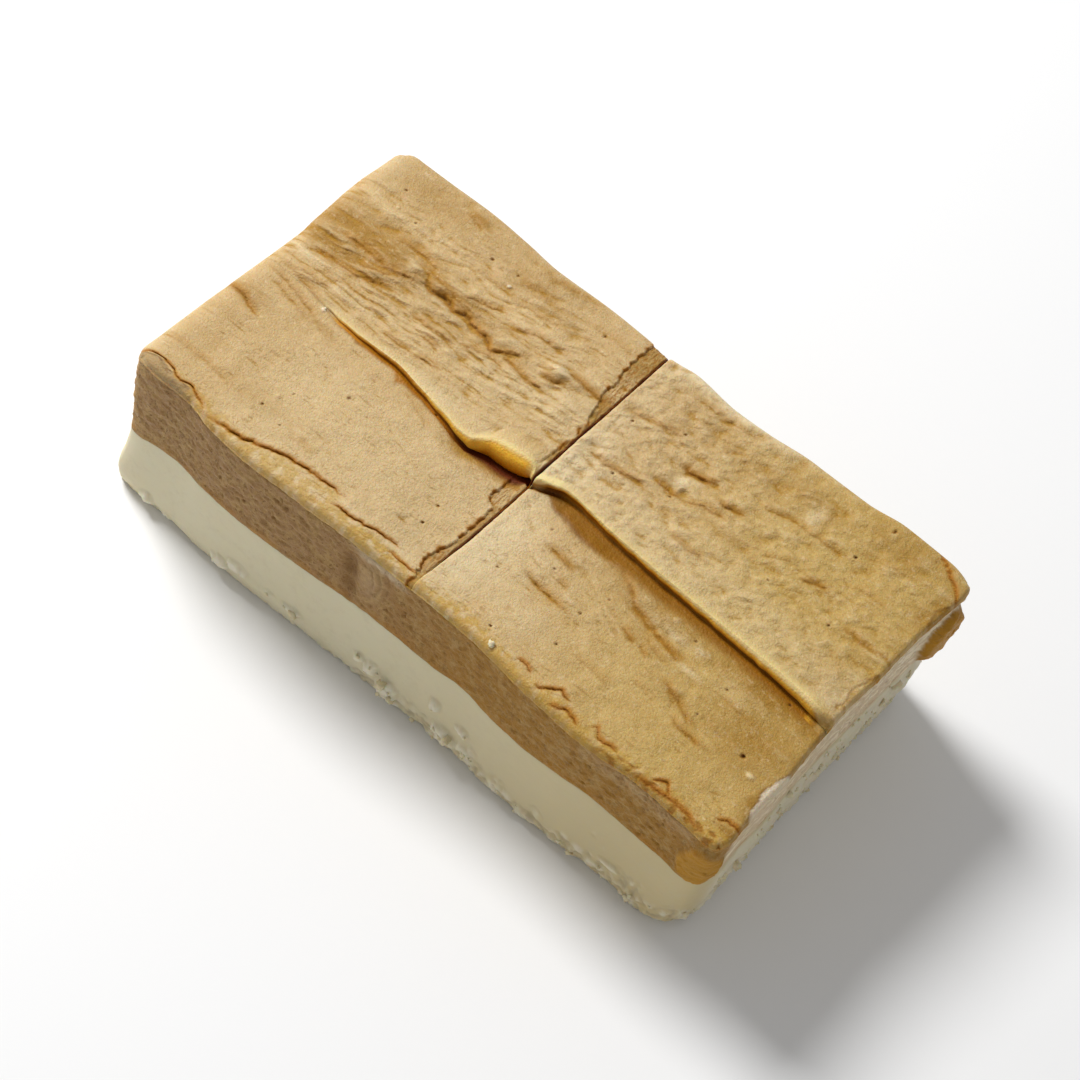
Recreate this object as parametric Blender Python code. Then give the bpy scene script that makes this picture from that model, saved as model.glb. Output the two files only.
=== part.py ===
"""A hand-cut slab of two-layer fudge, scored across the top into two squares.

Caramel fudge lies on cream fudge. A fold runs the length of the top skin, where the paddle dragged the
setting caramel over itself: a thick rolled lip by the score on the left square, a thin bead on the right.

The formulas work in millimetres, and MM turns them into metres when a mesh is made. x runs along the slab
from its left end, y from its front side to the back, and z up from the base. The finished solids are moved
so that the origin is under the slab's middle.
"""

import bmesh
import bpy
import numpy as np

MM = 0.001

# The slab, measured between its mean sides.
LENGTH = 108.0
WIDTH = 60.0
HEIGHT = 32.0
CREAM_HEIGHT = 17.3
LAYER_GAP = 0.3
MIDDLE_X = 54.4
MIDDLE_Y = 30.3

# The vertical corners' radii, at the base and at the top.
FRONT_LEFT_RADIUS = (2.6, 3.6)
FRONT_RIGHT_RADIUS = (6.0, 2.5)
BACK_LEFT_RADIUS = (3.0, 2.2)
BACK_RIGHT_RADIUS = (4.0, 3.2)

# The rounding between the top and each side.
FRONT_SHOULDER = 1.1
BACK_SHOULDER = 2.0
LEFT_SHOULDER = 2.4
RIGHT_SHOULDER = 1.3

# How far each side stands out from its mean place: first along the side, at the top, then up the side.
# The waves fade to SIDE_WAVE_AT_BASE of themselves at the base, and die out over SIDE_FADE in from the side.
SIDE_WAVE_AT_BASE = 0.35
SIDE_FADE = 3.0
FRONT_WAVE = [(0, -0.6), (8, -0.9), (14, 0.3), (20, 0.7), (30, 0.3), (40, -0.4), (53, -0.8),
              (63, -0.5), (73, 0.6), (84, 1.2), (94, 0.4), (103, 0.8), (108, 1.2)]
BACK_WAVE = [(0, 0.3), (8, 0.4), (16, 0.6), (24, 0.1), (31, -0.6), (40, -0.4), (48, -0.8), (53, -1.2),
             (58, -0.4), (66, -1.2), (72, -0.9), (80, 0.0), (90, 0.0), (97, 0.9), (104, 0.8), (108, 0.4)]
LEFT_WAVE = [(0, 0.9), (6, 0.7), (14, 0.5), (24, 0.1), (35, -0.3), (42, 0.0), (50, 0.3), (60, -0.3)]
RIGHT_WAVE = [(0, 0.2), (8, 0.0), (14, 0.2), (21, -0.2), (29, -0.3), (37, 0.2), (46, 0.4), (53, 1.0),
              (60, 1.7)]
FRONT_RISE = [(0, -0.2), (4, 0.3), (12, 0.1), (20, 0.1), (32, 0.1)]
BACK_RISE = [(0, 0.6), (8, 1.0), (20, 0.9), (32, 1.0)]
LEFT_RISE = [(0, 2.5), (4, 2.7), (9, 1.9), (15, 1.4), (24, 1.9), (32, 1.9)]
RIGHT_RISE = [(0, 0.1), (8, 0.6), (16, 0.5), (32, 0.7)]

# Caramel dragged over two corners by the knife: middle along x, y and z, spread, and how far it stands out.
# Its spread up the side is DRAG_STRETCH times that along it.
CORNER_DRAGS = [
    (107.0, 0.5, 24.0, 3.4, 0.7),
    (110.2, 56.0, 23.4, 3.8, 2.7),
]
DRAG_STRETCH = 1.6

# The top: its slight twist, as heights above HEIGHT at the four corners, and broad dips and swells, each with
# its middle, its half lengths along x and y, and its height.
TWIST_FRONT_LEFT = 0.8
TWIST_FRONT_RIGHT = -0.6
TWIST_BACK_RIGHT = -0.2
TOP_SWELLS = [
    (16.0, 43.0, 9.0, 2.4, 0.7), (30.0, 40.5, 8.0, 1.6, -0.5), (43.0, 44.0, 3.5, 1.3, 0.7),
    (23.0, 42.0, 6.0, 0.9, -0.5), (6.0, 37.0, 6.0, 2.0, -0.5), (68.0, 45.0, 3.5, 1.6, -0.5),
    (69.0, 41.0, 3.5, 1.4, -0.4), (80.0, 21.0, 9.0, 1.4, -0.4), (93.0, 12.5, 6.0, 1.4, -0.3),
    (64.0, 14.0, 4.0, 1.0, -0.2), (3.5, 20.0, 2.5, 0.8, -0.4), (96.0, 57.0, 10.0, 5.0, 0.4),
]

# The knife's score across the top: where it runs, its depth along y, half the width of its bottom, and half
# the width of its mouth as a multiple of that. The points along the top follow its bends within SCORE_BEND.
SCORE_MIDDLE = 0.485 * LENGTH
SCORE_PATH = [(0, 51.4), (5, 51.6), (14, 52.2), (26, 52.4), (38, 52.6), (52, 52.9), (60, 53.0)]
SCORE_DEPTH = [(-1, 0.1), (1.5, 0.4), (6, 3.6), (14, 5.0), (48, 5.0), (57, 2.4), (62, 1.4)]
SCORE_HALF_WIDTH = 0.34
SCORE_MOUTH = 1.4
SCORE_BEND = 12.0

# The smeared skin that the knife pressed down on the score's left, with the width of the step at its edge,
# and the lip that it raised on the right: its height, its distance from the score, and its spread. Plain skin
# starts a little further out than each.
SMEAR_WIDTH = 2.4
SMEAR_DEPTH = 0.6
SMEAR_EDGE = 0.3
LIP_HEIGHT = 0.25
LIP_PLACE = 1.3
LIP_SPREAD = 0.6
BEYOND_SMEAR, BEYOND_LIP = 0.5, 0.9

# The fold along the top, given along x: the middle line of its roll, the roll's radius, how far the skin
# behind it stands above the skin before it, how far the roll's middle stands above the skin behind, in radii,
# the depth of the crease under it, and how far it is curled, from a flat step at 0 to a full roll at 1.
FOLD_PATH = [(-3, 28.8), (6, 28.4), (12, 27.9), (18, 27.5), (25, 27.7), (30, 26.9), (36, 25.9), (40, 25.1),
             (41.5, 25.2), (43, 26.5), (45, 27.8), (48, 28.3), (50.5, 28.6), (51.5, 28.3), (52.4, 26.8),
             (53.5, 27.1), (55, 27.9), (58, 28.6), (62, 28.2), (66, 27.8), (74, 27.4), (84, 27.1),
             (95, 26.8), (103, 26.4), (108, 25.7), (112, 25.2)]
FOLD_RADIUS = [(-3, 0.3), (8, 0.3), (14, 0.5), (36, 0.65), (40, 0.8), (43, 1.5), (45, 2.1), (48, 2.3),
               (50.5, 2.1), (51.6, 1.3), (52.4, 0.6), (60, 0.5), (70, 0.65), (80, 0.8), (90, 0.9),
               (100, 1.0), (105, 1.2), (112, 1.2)]
FOLD_STEP = [(-3, 0.0), (6, 0.1), (12, 0.5), (20, 0.9), (30, 1.1), (40, 1.3), (50, 1.6), (60, 1.5), (75, 1.3),
             (90, 1.2), (108, 1.3), (112, 1.3)]
FOLD_LIFT = [(-3, -0.8), (12, -0.8), (36, -0.6), (41, -0.5), (45, -0.3), (50.5, -0.3), (53, -0.5),
             (112, -0.4)]
FOLD_CREASE = [(-3, 0.0), (8, 0.0), (14, 0.4), (36, 0.4), (43, 0.8), (50, 1.0), (54, 0.7), (62, 0.6),
               (105, 0.4), (107, 0.2), (112, 0.1)]
FOLD_CURL = [(-3, 0.0), (9, 0.0), (15, 0.9), (30, 1.0), (50, 1.0), (51.4, 0.5), (53.2, 0.5), (55, 1.0),
             (104, 1.0), (107, 0.2), (108, 0.0), (112, 0.0)]
CURL_FROM = 245.0
CURL_TO = 75.0

# Shares of the step that lie below and above the plain top. In radii of the roll: how far before its middle
# the crease starts and has its bottom, how far behind it the plain skin starts, and how far before and behind
# it the rows of a flat stretch reach. The two starts keep a further distance from small rolls.
STEP_DOWN, STEP_UP = 0.45, 0.55
CREASE_START, CREASE_BOTTOM, BEHIND_START = 1.9, 0.15, 1.5
CREASE_START_FURTHER, BEHIND_START_FURTHER = 0.4, 0.3
FLAT_BEFORE, FLAT_BEHIND = 0.7, 0.9

# The wavy joint between the layers, as heights above CREAM_HEIGHT along x and along y.
JOINT_ALONG_X = [(-3, -3.0), (1, -2.2), (5, -1.2), (12, -0.9), (24, -1.2), (36, -0.8), (46, -0.1), (58, -0.1),
                 (64, 0.9), (70, 0.2), (76, 0.2), (82, 1.2), (87, 1.8), (94, 0.9), (101, 0.8), (108, -0.2),
                 (112, -0.4)]
JOINT_ALONG_Y = [(-3, 0.0), (0, 0.0), (15, 0.5), (30, -0.3), (45, 0.4), (63, -0.4)]

# How far the base's torn edge is lifted off the table, along the front within about FOOT_FADE and elsewhere,
# and the flat base within it, as a share of the slab's plan.
FOOT_TEARS = [(-3, 0.0), (4, 0.1), (9, 0.7), (14, 0.2), (20, 0.0), (40, 0.2), (54, 0.1), (58, 1.0), (62, 0.4),
              (65, 0.5), (68, 1.8), (71, 0.2), (77, 0.0), (85, 0.2), (95, 0.9), (100, 0.4), (106, 1.3),
              (112, 1.5)]
FOOT_LIFT_ELSEWHERE = 0.3
FOOT_FADE = 6.0
BASE_INSET = 0.90

# The grids: points across the top, and rows of points down each layer's side. A rounded shoulder gets a point
# at each of SHOULDER_SHARES of its radius, and the crease under the fold a row at each of CREASE_SHARES of
# its width. The mean distances from a side to the fold space the rows. The underside's ring lies at
# JOINT_RING of the plan.
COLUMNS_LEFT = 17
COLUMNS_RIGHT = 18
ROWS_FRONT = 11
ROWS_BACK = 13
ROWS_CURL = 7
CARAMEL_SIDE_ROWS = 5
CREAM_SIDE_ROWS = 6
SHOULDER_SHARES = (0.0, 0.14, 0.5)
CREASE_SHARES = (0.5, 0.9)
FRONT_TO_FOLD, FOLD_TO_BACK = 26.0, 32.0
JOINT_RING = 0.55

CARAMEL_COLOUR = (0.60, 0.39, 0.18, 1.0)
CREAM_COLOUR = (0.74, 0.68, 0.50, 1.0)
ROUGHNESS = 0.5


def along(t, knots):
    """A smooth curve through knots (place, value): cubic pieces whose slope at a knot is the harmonic mean of
    the slopes to its neighbours, or level at a peak, so that it never overshoots. Past the ends it stays
    level."""
    place, value = np.array(knots, float).T
    chord = np.diff(value) / np.diff(place)
    same_way = chord[:-1] * chord[1:] > 0
    total = np.where(same_way, chord[:-1] + chord[1:], 1.0)
    slope = np.concatenate([[0.0], np.where(same_way, 2 * chord[:-1] * chord[1:] / total, 0.0), [0.0]])
    t = np.clip(t, place[0], place[-1])
    i = np.clip(np.searchsorted(place, t) - 1, 0, len(place) - 2)
    span = place[i + 1] - place[i]
    s = (t - place[i]) / span
    start = value[i] * (1 + 2 * s) + slope[i] * span * s
    end = value[i + 1] * (3 - 2 * s) - slope[i + 1] * span * (1 - s)
    return start * (1 - s) ** 2 + end * s ** 2


def corner_radius(u, v, z):
    """The vertical corners' radius at height z, taken from the nearest corner."""
    rise = z / HEIGHT
    left, front = u < LENGTH / 2, v < WIDTH / 2
    base = np.where(front, np.where(left, FRONT_LEFT_RADIUS[0], FRONT_RIGHT_RADIUS[0]),
                    np.where(left, BACK_LEFT_RADIUS[0], BACK_RIGHT_RADIUS[0]))
    top = np.where(front, np.where(left, FRONT_LEFT_RADIUS[1], FRONT_RIGHT_RADIUS[1]),
                   np.where(left, BACK_LEFT_RADIUS[1], BACK_RIGHT_RADIUS[1]))
    return base + (top - base) * rise


def stand_out(along_side, z, wave, rise):
    """How far a side stands out from its mean place: a wave along it that fades downwards, and a profile up
    it."""
    fade = SIDE_WAVE_AT_BASE + (1 - SIDE_WAVE_AT_BASE) * z / HEIGHT
    return along(along_side, wave) * fade + along(z, rise)


def plan(u, v, z):
    """Where point (u, v) of the plain rectangle lies in the slab at height z. Within a corner's square the
    larger of its two distances from the square's inner corner becomes its reach, which rounds the corner. Then
    each side carries the points near it outwards."""
    radius = corner_radius(u, v, z)
    du = np.maximum(radius - u, 0) - np.maximum(u - LENGTH + radius, 0)
    dv = np.maximum(radius - v, 0) - np.maximum(v - WIDTH + radius, 0)
    reach = np.maximum(abs(du), abs(dv)) / np.maximum(np.hypot(du, dv), 1e-9)
    x = u + du * (1 - reach)
    y = v + dv * (1 - reach)
    x = x - stand_out(v, z, LEFT_WAVE, LEFT_RISE) * np.exp(-(u / SIDE_FADE) ** 2)
    x = x + stand_out(v, z, RIGHT_WAVE, RIGHT_RISE) * np.exp(-((LENGTH - u) / SIDE_FADE) ** 2)
    y = y - stand_out(u, z, FRONT_WAVE, FRONT_RISE) * np.exp(-(v / SIDE_FADE) ** 2)
    y = y + stand_out(u, z, BACK_WAVE, BACK_RISE) * np.exp(-((WIDTH - v) / SIDE_FADE) ** 2)
    return x, y


def shoulder_drop(u, v):
    """How far the top rounds down near the sides: a quarter circle of each side's shoulder radius."""
    near = [np.clip(1 - u / LEFT_SHOULDER, 0, 1), np.clip(1 - (LENGTH - u) / RIGHT_SHOULDER, 0, 1),
            np.clip(1 - v / FRONT_SHOULDER, 0, 1), np.clip(1 - (WIDTH - v) / BACK_SHOULDER, 0, 1)]
    radii = [LEFT_SHOULDER, RIGHT_SHOULDER, FRONT_SHOULDER, BACK_SHOULDER]
    weight = sum(n ** 2 for n in near)
    radius = sum(n ** 2 * r for n, r in zip(near, radii)) / np.maximum(weight, 1e-9)
    return radius * (1 - np.sqrt(1 - np.minimum(weight, 1)))


def top_height(x, y):
    """The top skin without its fold and score: a twisted plane with broad dips and swells."""
    s, t = np.clip(x / LENGTH, 0, 1), np.clip(y / WIDTH, 0, 1)
    height = HEIGHT + TWIST_FRONT_LEFT * (1 - s) * (1 - t)
    height = height + TWIST_FRONT_RIGHT * s * (1 - t) + TWIST_BACK_RIGHT * s * t
    for middle_x, middle_y, half_x, half_y, rise in TOP_SWELLS:
        height = height + rise * np.exp(-((x - middle_x) / half_x) ** 2 - ((y - middle_y) / half_y) ** 2)
    return height


def edge_spacing(count, shoulder):
    """Shares from 0, at a side, to 1: close ones within the share that the rounded shoulder takes, then even
    ones."""
    even = np.linspace(shoulder, 1, count - len(SHOULDER_SHARES))
    return np.concatenate([shoulder * np.array(SHOULDER_SHARES), even])


def fold_rows(x):
    """The rows of points across the top at each x, from the front side to the back: how far along y each lies,
    and its height above the plain top. The skin runs level to the crease, drops into it, follows the roll's
    circle up and over, and comes down to the skin behind. Where the curl is 0 the same rows lie flat."""
    middle, radius = along(x, FOLD_PATH), along(x, FOLD_RADIUS)
    step, crease = along(x, FOLD_STEP), along(x, FOLD_CREASE)
    curl = along(x, FOLD_CURL)
    front_level, back_level = -step * STEP_DOWN, step * STEP_UP
    roll_level = back_level + along(x, FOLD_LIFT) * radius
    crease_start = middle - CREASE_START * radius - CREASE_START_FURTHER
    crease_width = middle - CREASE_BOTTOM * radius - crease_start
    behind = middle + BEHIND_START * radius + BEHIND_START_FURTHER
    rows = []
    for share in edge_spacing(ROWS_FRONT, FRONT_SHOULDER / FRONT_TO_FOLD):
        rows.append((crease_start * share, front_level))
    for share in CREASE_SHARES:
        rows.append((crease_start + crease_width * share, front_level - crease * share ** 2))
    for turn in np.linspace(1, 0, ROWS_CURL):
        angle = np.radians(CURL_TO + (CURL_FROM - CURL_TO) * turn)
        rise = 0.5 + 0.5 * np.cos(np.pi * turn)
        flat_y = FLAT_BEHIND - (FLAT_BEFORE + FLAT_BEHIND) * turn
        y = curl * np.cos(angle) + (1 - curl) * flat_y
        z = curl * (roll_level + radius * np.sin(angle)) + (1 - curl) * (front_level + step * rise)
        rows.append((middle + radius * y, z))
    for share in edge_spacing(ROWS_BACK, BACK_SHOULDER / FOLD_TO_BACK)[::-1]:
        rows.append((WIDTH - (WIDTH - behind) * share, back_level))
    return np.array([r[0] for r in rows]), np.array([r[1] for r in rows])


def columns():
    """Where the columns of points along the top lie along x, for a straight score: from the left end to the
    smeared skin, across that and the score to the lip on its right, and on to the right end."""
    left_end = SCORE_MIDDLE - SMEAR_WIDTH - BEYOND_SMEAR
    right_start = SCORE_MIDDLE + LIP_PLACE + BEYOND_LIP
    left = left_end * edge_spacing(COLUMNS_LEFT, LEFT_SHOULDER / left_end)
    wall = SCORE_HALF_WIDTH * np.array([0.0, 1.0, SCORE_MOUTH])
    score = np.concatenate([[-SMEAR_WIDTH, SMEAR_EDGE - SMEAR_WIDTH], -wall[::-1], wall[1:], [LIP_PLACE]])
    right_length = LENGTH - right_start
    right = LENGTH - right_length * edge_spacing(COLUMNS_RIGHT, RIGHT_SHOULDER / right_length)[::-1]
    return np.concatenate([left, SCORE_MIDDLE + score, right])


def score_drop(across, y):
    """How far the score lowers the top: a narrow cut, the smeared skin on its left, a small lip on its
    right."""
    depth = along(y, SCORE_DEPTH)
    shallow = np.minimum(depth, 1)
    cut = depth * np.clip(SCORE_MOUTH - abs(across) / SCORE_HALF_WIDTH, 0, 1)
    smeared = (across < -SCORE_HALF_WIDTH) & (across > SMEAR_EDGE / 2 - SMEAR_WIDTH)
    lip = np.exp(-((across - LIP_PLACE) / LIP_SPREAD) ** 2)
    return cut + shallow * (SMEAR_DEPTH * smeared - LIP_HEIGHT * lip)


def drag(x, y, z):
    """How far the dragged caramel stands out from the side at a point of it."""
    total = np.zeros_like(x)
    for middle_x, middle_y, middle_z, spread, height in CORNER_DRAGS:
        across = ((x - middle_x) ** 2 + (y - middle_y) ** 2) / spread ** 2
        up = ((z - middle_z) / (DRAG_STRETCH * spread)) ** 2
        total = total + height * np.exp(-across - up)
    return total


def layer_joint(x, y):
    """The height of the joint between the layers."""
    return CREAM_HEIGHT + along(x, JOINT_ALONG_X) + along(y, JOINT_ALONG_Y)


def side_point(u, v, z, dragged):
    """A point of the side at height z, carried outwards from the slab's middle where caramel was dragged."""
    x, y = plan(u, v, z)
    if dragged:
        away_x, away_y = x - MIDDLE_X, y - MIDDLE_Y
        far = drag(x, y, z) / np.hypot(away_x, away_y)
        x, y = x + away_x * far, y + away_y * far
    return np.stack([x, y, z], -1)


def boundary(rows, cols):
    """The grid's outer points in order round it: front, right end, back, left end."""
    grid = np.arange(rows * cols).reshape(rows, cols)
    return np.concatenate([grid[0, :], grid[1:, -1], grid[-1, -2::-1], grid[-2:0:-1, 0]])


def grid_faces(rows, cols):
    """The grid's four-sided faces."""
    corner = (np.arange(rows - 1)[:, None] * cols + np.arange(cols - 1)).ravel()
    return [(c, c + 1, c + cols + 1, c + cols) for c in corner.tolist()]


def band_faces(upper, lower):
    """The four-sided faces between two closed loops of points."""
    after_upper, after_lower = np.roll(upper, -1), np.roll(lower, -1)
    return list(zip(upper.tolist(), lower.tolist(), after_lower.tolist(), after_upper.tolist()))


def fan_faces(loop, middle):
    """The triangles between a closed loop and a point."""
    return [(a, b, middle) for a, b in zip(loop.tolist(), np.roll(loop, -1).tolist())]


def top_grid():
    """The top skin's points as rows of (x, y, z), with the rectangle's (u, v) of each."""
    across = columns()
    near_score = np.exp(-((across - SCORE_MIDDLE) / SCORE_BEND) ** 2)
    v, rise = fold_rows(across)
    u = across + (along(v, SCORE_PATH) - SCORE_MIDDLE) * near_score
    level = top_height(u, v)
    x, y = plan(u, v, level)
    z = level + rise - score_drop(u - along(v, SCORE_PATH), v) - shoulder_drop(u, v)
    return np.stack([x, y, z], -1), u, v


def close_underside(points, faces, loop, u, v, gap):
    """Closes a layer along the joint: one ring half way in, and a point under the middle."""
    ring_u = LENGTH / 2 + (u - LENGTH / 2) * JOINT_RING
    ring_v = WIDTH / 2 + (v - WIDTH / 2) * JOINT_RING
    ring = np.stack([ring_u, ring_v, layer_joint(ring_u, ring_v) + gap], -1)
    middle = np.array([[LENGTH / 2, WIDTH / 2, layer_joint(LENGTH / 2, WIDTH / 2) + gap]])
    count = sum(len(p) for p in points)
    inner = count + np.arange(len(loop))
    faces = faces + band_faces(loop, inner) + fan_faces(inner, count + len(loop))
    return points + [ring, middle], faces


def caramel_layer():
    """The caramel fudge: the top skin, sides down to the joint, and an underside that follows the joint."""
    top, u, v = top_grid()
    rows, cols = u.shape
    points = [top.reshape(-1, 3)]
    faces = grid_faces(rows, cols)
    rim = boundary(rows, cols)
    rim_u, rim_v, rim_z = u.ravel()[rim], v.ravel()[rim], points[0][rim, 2]
    foot = layer_joint(rim_u, rim_v) + LAYER_GAP / 2
    upper, count = rim, rows * cols
    for share in np.linspace(0, 1, CARAMEL_SIDE_ROWS + 1)[1:]:
        points.append(side_point(rim_u, rim_v, rim_z + (foot - rim_z) * share, share < 1))
        lower = count + np.arange(len(rim))
        faces += band_faces(upper, lower)
        upper, count = lower, count + len(rim)
    return close_underside(points, faces, upper, rim_u, rim_v, LAYER_GAP / 2)


def cream_layer():
    """The cream fudge: sides from the joint down to the torn edge of the base, and a flat base within it."""
    _, u, v = top_grid()
    rim = boundary(*u.shape)
    rim_u, rim_v = u.ravel()[rim], v.ravel()[rim]
    head = layer_joint(rim_u, rim_v) - LAYER_GAP / 2
    front = np.exp(-(rim_v / FOOT_FADE) ** 2)
    foot = along(rim_u, FOOT_TEARS) * front + FOOT_LIFT_ELSEWHERE * (1 - front)
    head_loop = np.arange(len(rim))
    points = [side_point(rim_u, rim_v, head, False)]
    faces, upper = [], head_loop
    for share in np.linspace(0, 1, CREAM_SIDE_ROWS + 1)[1:]:
        points.append(side_point(rim_u, rim_v, head + (foot - head) * share, False))
        lower = upper + len(rim)
        faces += band_faces(upper, lower)
        upper = lower
    middle = np.array([MIDDLE_X, MIDDLE_Y, 0.0])
    points += [points[-1] * (BASE_INSET, BASE_INSET, 0) + middle * (1 - BASE_INSET), middle[None]]
    base = upper + len(rim)
    faces += band_faces(upper, base) + fan_faces(base, base[-1] + 1)
    return close_underside(points, faces, head_loop, rim_u, rim_v, -LAYER_GAP / 2)


def fudge_material(name, colour):
    """Matt, slightly waxy fudge."""
    material = bpy.data.materials.new(name)
    material.use_nodes = True
    shader = material.node_tree.nodes["Principled BSDF"]
    shader.inputs["Base Color"].default_value = colour
    shader.inputs["Roughness"].default_value = ROUGHNESS
    shader.inputs["Metallic"].default_value = 0.0
    return material


def add_solid(name, points, faces, material):
    """One closed solid from millimetre points, moved over the origin, with its faces pointing out."""
    points = (np.concatenate(points) - (MIDDLE_X, MIDDLE_Y, 0)) * MM
    mesh = bpy.data.meshes.new(name)
    mesh.from_pydata(points.tolist(), [], faces)
    work = bmesh.new()
    work.from_mesh(mesh)
    bmesh.ops.recalc_face_normals(work, faces=work.faces)
    bmesh.ops.triangulate(work, faces=work.faces)
    work.to_mesh(mesh)
    work.free()
    mesh.materials.append(material)
    mesh.shade_smooth()
    solid = bpy.data.objects.new(name, mesh)
    bpy.context.scene.collection.objects.link(solid)
    return solid


for old in list(bpy.data.objects):
    bpy.data.objects.remove(old, do_unlink=True)

add_solid("caramel_layer", *caramel_layer(), fudge_material("caramel_fudge", CARAMEL_COLOUR))
add_solid("cream_layer", *cream_layer(), fudge_material("cream_fudge", CREAM_COLOUR))
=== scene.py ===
"""A hand-cut slab of two-layer fudge: cream fudge below, caramel fudge above, and the caramel's skin, which is
scored into two squares and folded over itself where the paddle dragged it.

Lengths are in millimetres, and MM turns them into metres when a mesh is made. x runs along the slab from its
left end, y from its front side to the back, and z up from the base, as in the model's source.
"""

import bpy
import numpy as np
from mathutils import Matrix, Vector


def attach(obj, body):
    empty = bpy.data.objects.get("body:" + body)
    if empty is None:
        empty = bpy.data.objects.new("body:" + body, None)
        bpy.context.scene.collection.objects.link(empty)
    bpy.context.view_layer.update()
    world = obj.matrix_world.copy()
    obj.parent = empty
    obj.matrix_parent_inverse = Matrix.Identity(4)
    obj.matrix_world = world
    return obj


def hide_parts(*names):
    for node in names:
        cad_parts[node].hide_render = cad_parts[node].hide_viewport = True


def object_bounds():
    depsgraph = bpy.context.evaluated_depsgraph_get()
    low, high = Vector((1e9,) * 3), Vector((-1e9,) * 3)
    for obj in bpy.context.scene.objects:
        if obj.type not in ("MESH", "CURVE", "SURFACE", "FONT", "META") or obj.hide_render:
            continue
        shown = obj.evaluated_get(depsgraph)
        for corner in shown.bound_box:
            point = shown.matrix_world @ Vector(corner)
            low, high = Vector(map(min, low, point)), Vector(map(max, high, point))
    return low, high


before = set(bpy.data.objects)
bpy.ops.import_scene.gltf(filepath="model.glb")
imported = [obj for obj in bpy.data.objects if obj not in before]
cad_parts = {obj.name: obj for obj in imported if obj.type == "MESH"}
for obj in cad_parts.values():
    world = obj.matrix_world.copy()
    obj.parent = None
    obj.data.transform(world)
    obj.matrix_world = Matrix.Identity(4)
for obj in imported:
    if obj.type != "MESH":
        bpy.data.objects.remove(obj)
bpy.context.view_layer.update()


# ---- The cream fudge ------------------------------------------------------------------------------------------
# The lower layer, vanilla fudge poured into the tray first. The knife leaves its sides smooth, and its foot
# tears and crumbles where the slab was lifted from the tray.

MM = 0.001
LENGTH, WIDTH, HEIGHT = 108.0, 60.0, 32.0
CREAM_HEIGHT = 17.3
MIDDLE_X, MIDDLE_Y = 54.4, 30.3

# The vertical corners' radii, at the base and at the top.
FRONT_LEFT_RADIUS = (2.6, 3.6)
FRONT_RIGHT_RADIUS = (6.0, 2.5)
BACK_LEFT_RADIUS = (3.0, 2.2)
BACK_RIGHT_RADIUS = (4.0, 3.2)

# How far each side stands out from its mean place: along it, at the top, and then up it.
SIDE_WAVE_AT_BASE = 0.35
SIDE_FADE = 3.0
FRONT_WAVE = [(0, -0.6), (8, -0.9), (14, 0.3), (20, 0.7), (30, 0.3), (40, -0.4), (53, -0.8),
              (63, -0.5), (73, 0.6), (84, 1.2), (94, 0.4), (103, 0.8), (108, 1.2)]
BACK_WAVE = [(0, 0.3), (8, 0.4), (16, 0.6), (24, 0.1), (31, -0.6), (40, -0.4), (48, -0.8), (53, -1.2),
             (58, -0.4), (66, -1.2), (72, -0.9), (80, 0.0), (90, 0.0), (97, 0.9), (104, 0.8), (108, 0.4)]
LEFT_WAVE = [(0, 0.9), (6, 0.7), (14, 0.5), (24, 0.1), (35, -0.3), (42, 0.0), (50, 0.3), (60, -0.3)]
RIGHT_WAVE = [(0, 0.2), (8, 0.0), (14, 0.2), (21, -0.2), (29, -0.3), (37, 0.2), (46, 0.4), (53, 1.0),
              (60, 1.7)]
FRONT_RISE = [(0, -0.2), (4, 0.3), (12, 0.1), (20, 0.1), (32, 0.1)]
BACK_RISE = [(0, 0.6), (8, 1.0), (20, 0.9), (32, 1.0)]
LEFT_RISE = [(0, 2.5), (4, 2.7), (9, 1.9), (15, 1.4), (24, 1.9), (32, 1.9)]
RIGHT_RISE = [(0, 0.1), (8, 0.6), (16, 0.5), (32, 0.7)]

# The wavy joint between the layers, as heights above CREAM_HEIGHT along x and along y.
JOINT_ALONG_X = [(-3, -3.0), (1, -2.2), (5, -1.2), (12, -0.9), (24, -1.2), (36, -0.8), (46, -0.1), (58, -0.1),
                 (64, 0.9), (70, 0.2), (76, 0.2), (82, 1.2), (87, 1.8), (94, 0.9), (101, 0.8), (108, -0.2),
                 (112, -0.4)]
JOINT_ALONG_Y = [(-3, 0.0), (0, 0.0), (15, 0.5), (30, -0.3), (45, 0.4), (63, -0.4)]

# How far the torn foot is lifted off the table along the front, and elsewhere.
FOOT_TEARS = [(-3, 0.0), (4, 0.1), (9, 0.7), (14, 0.2), (20, 0.0), (40, 0.2), (54, 0.1), (58, 1.0), (62, 0.4),
              (65, 0.5), (68, 1.8), (71, 0.2), (77, 0.0), (85, 0.2), (95, 0.9), (100, 0.4), (106, 1.3),
              (112, 1.5)]
FOOT_LIFT_ELSEWHERE = 0.3

WALL_STEP = 0.3
CREAM_ROWS = 60

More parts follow.
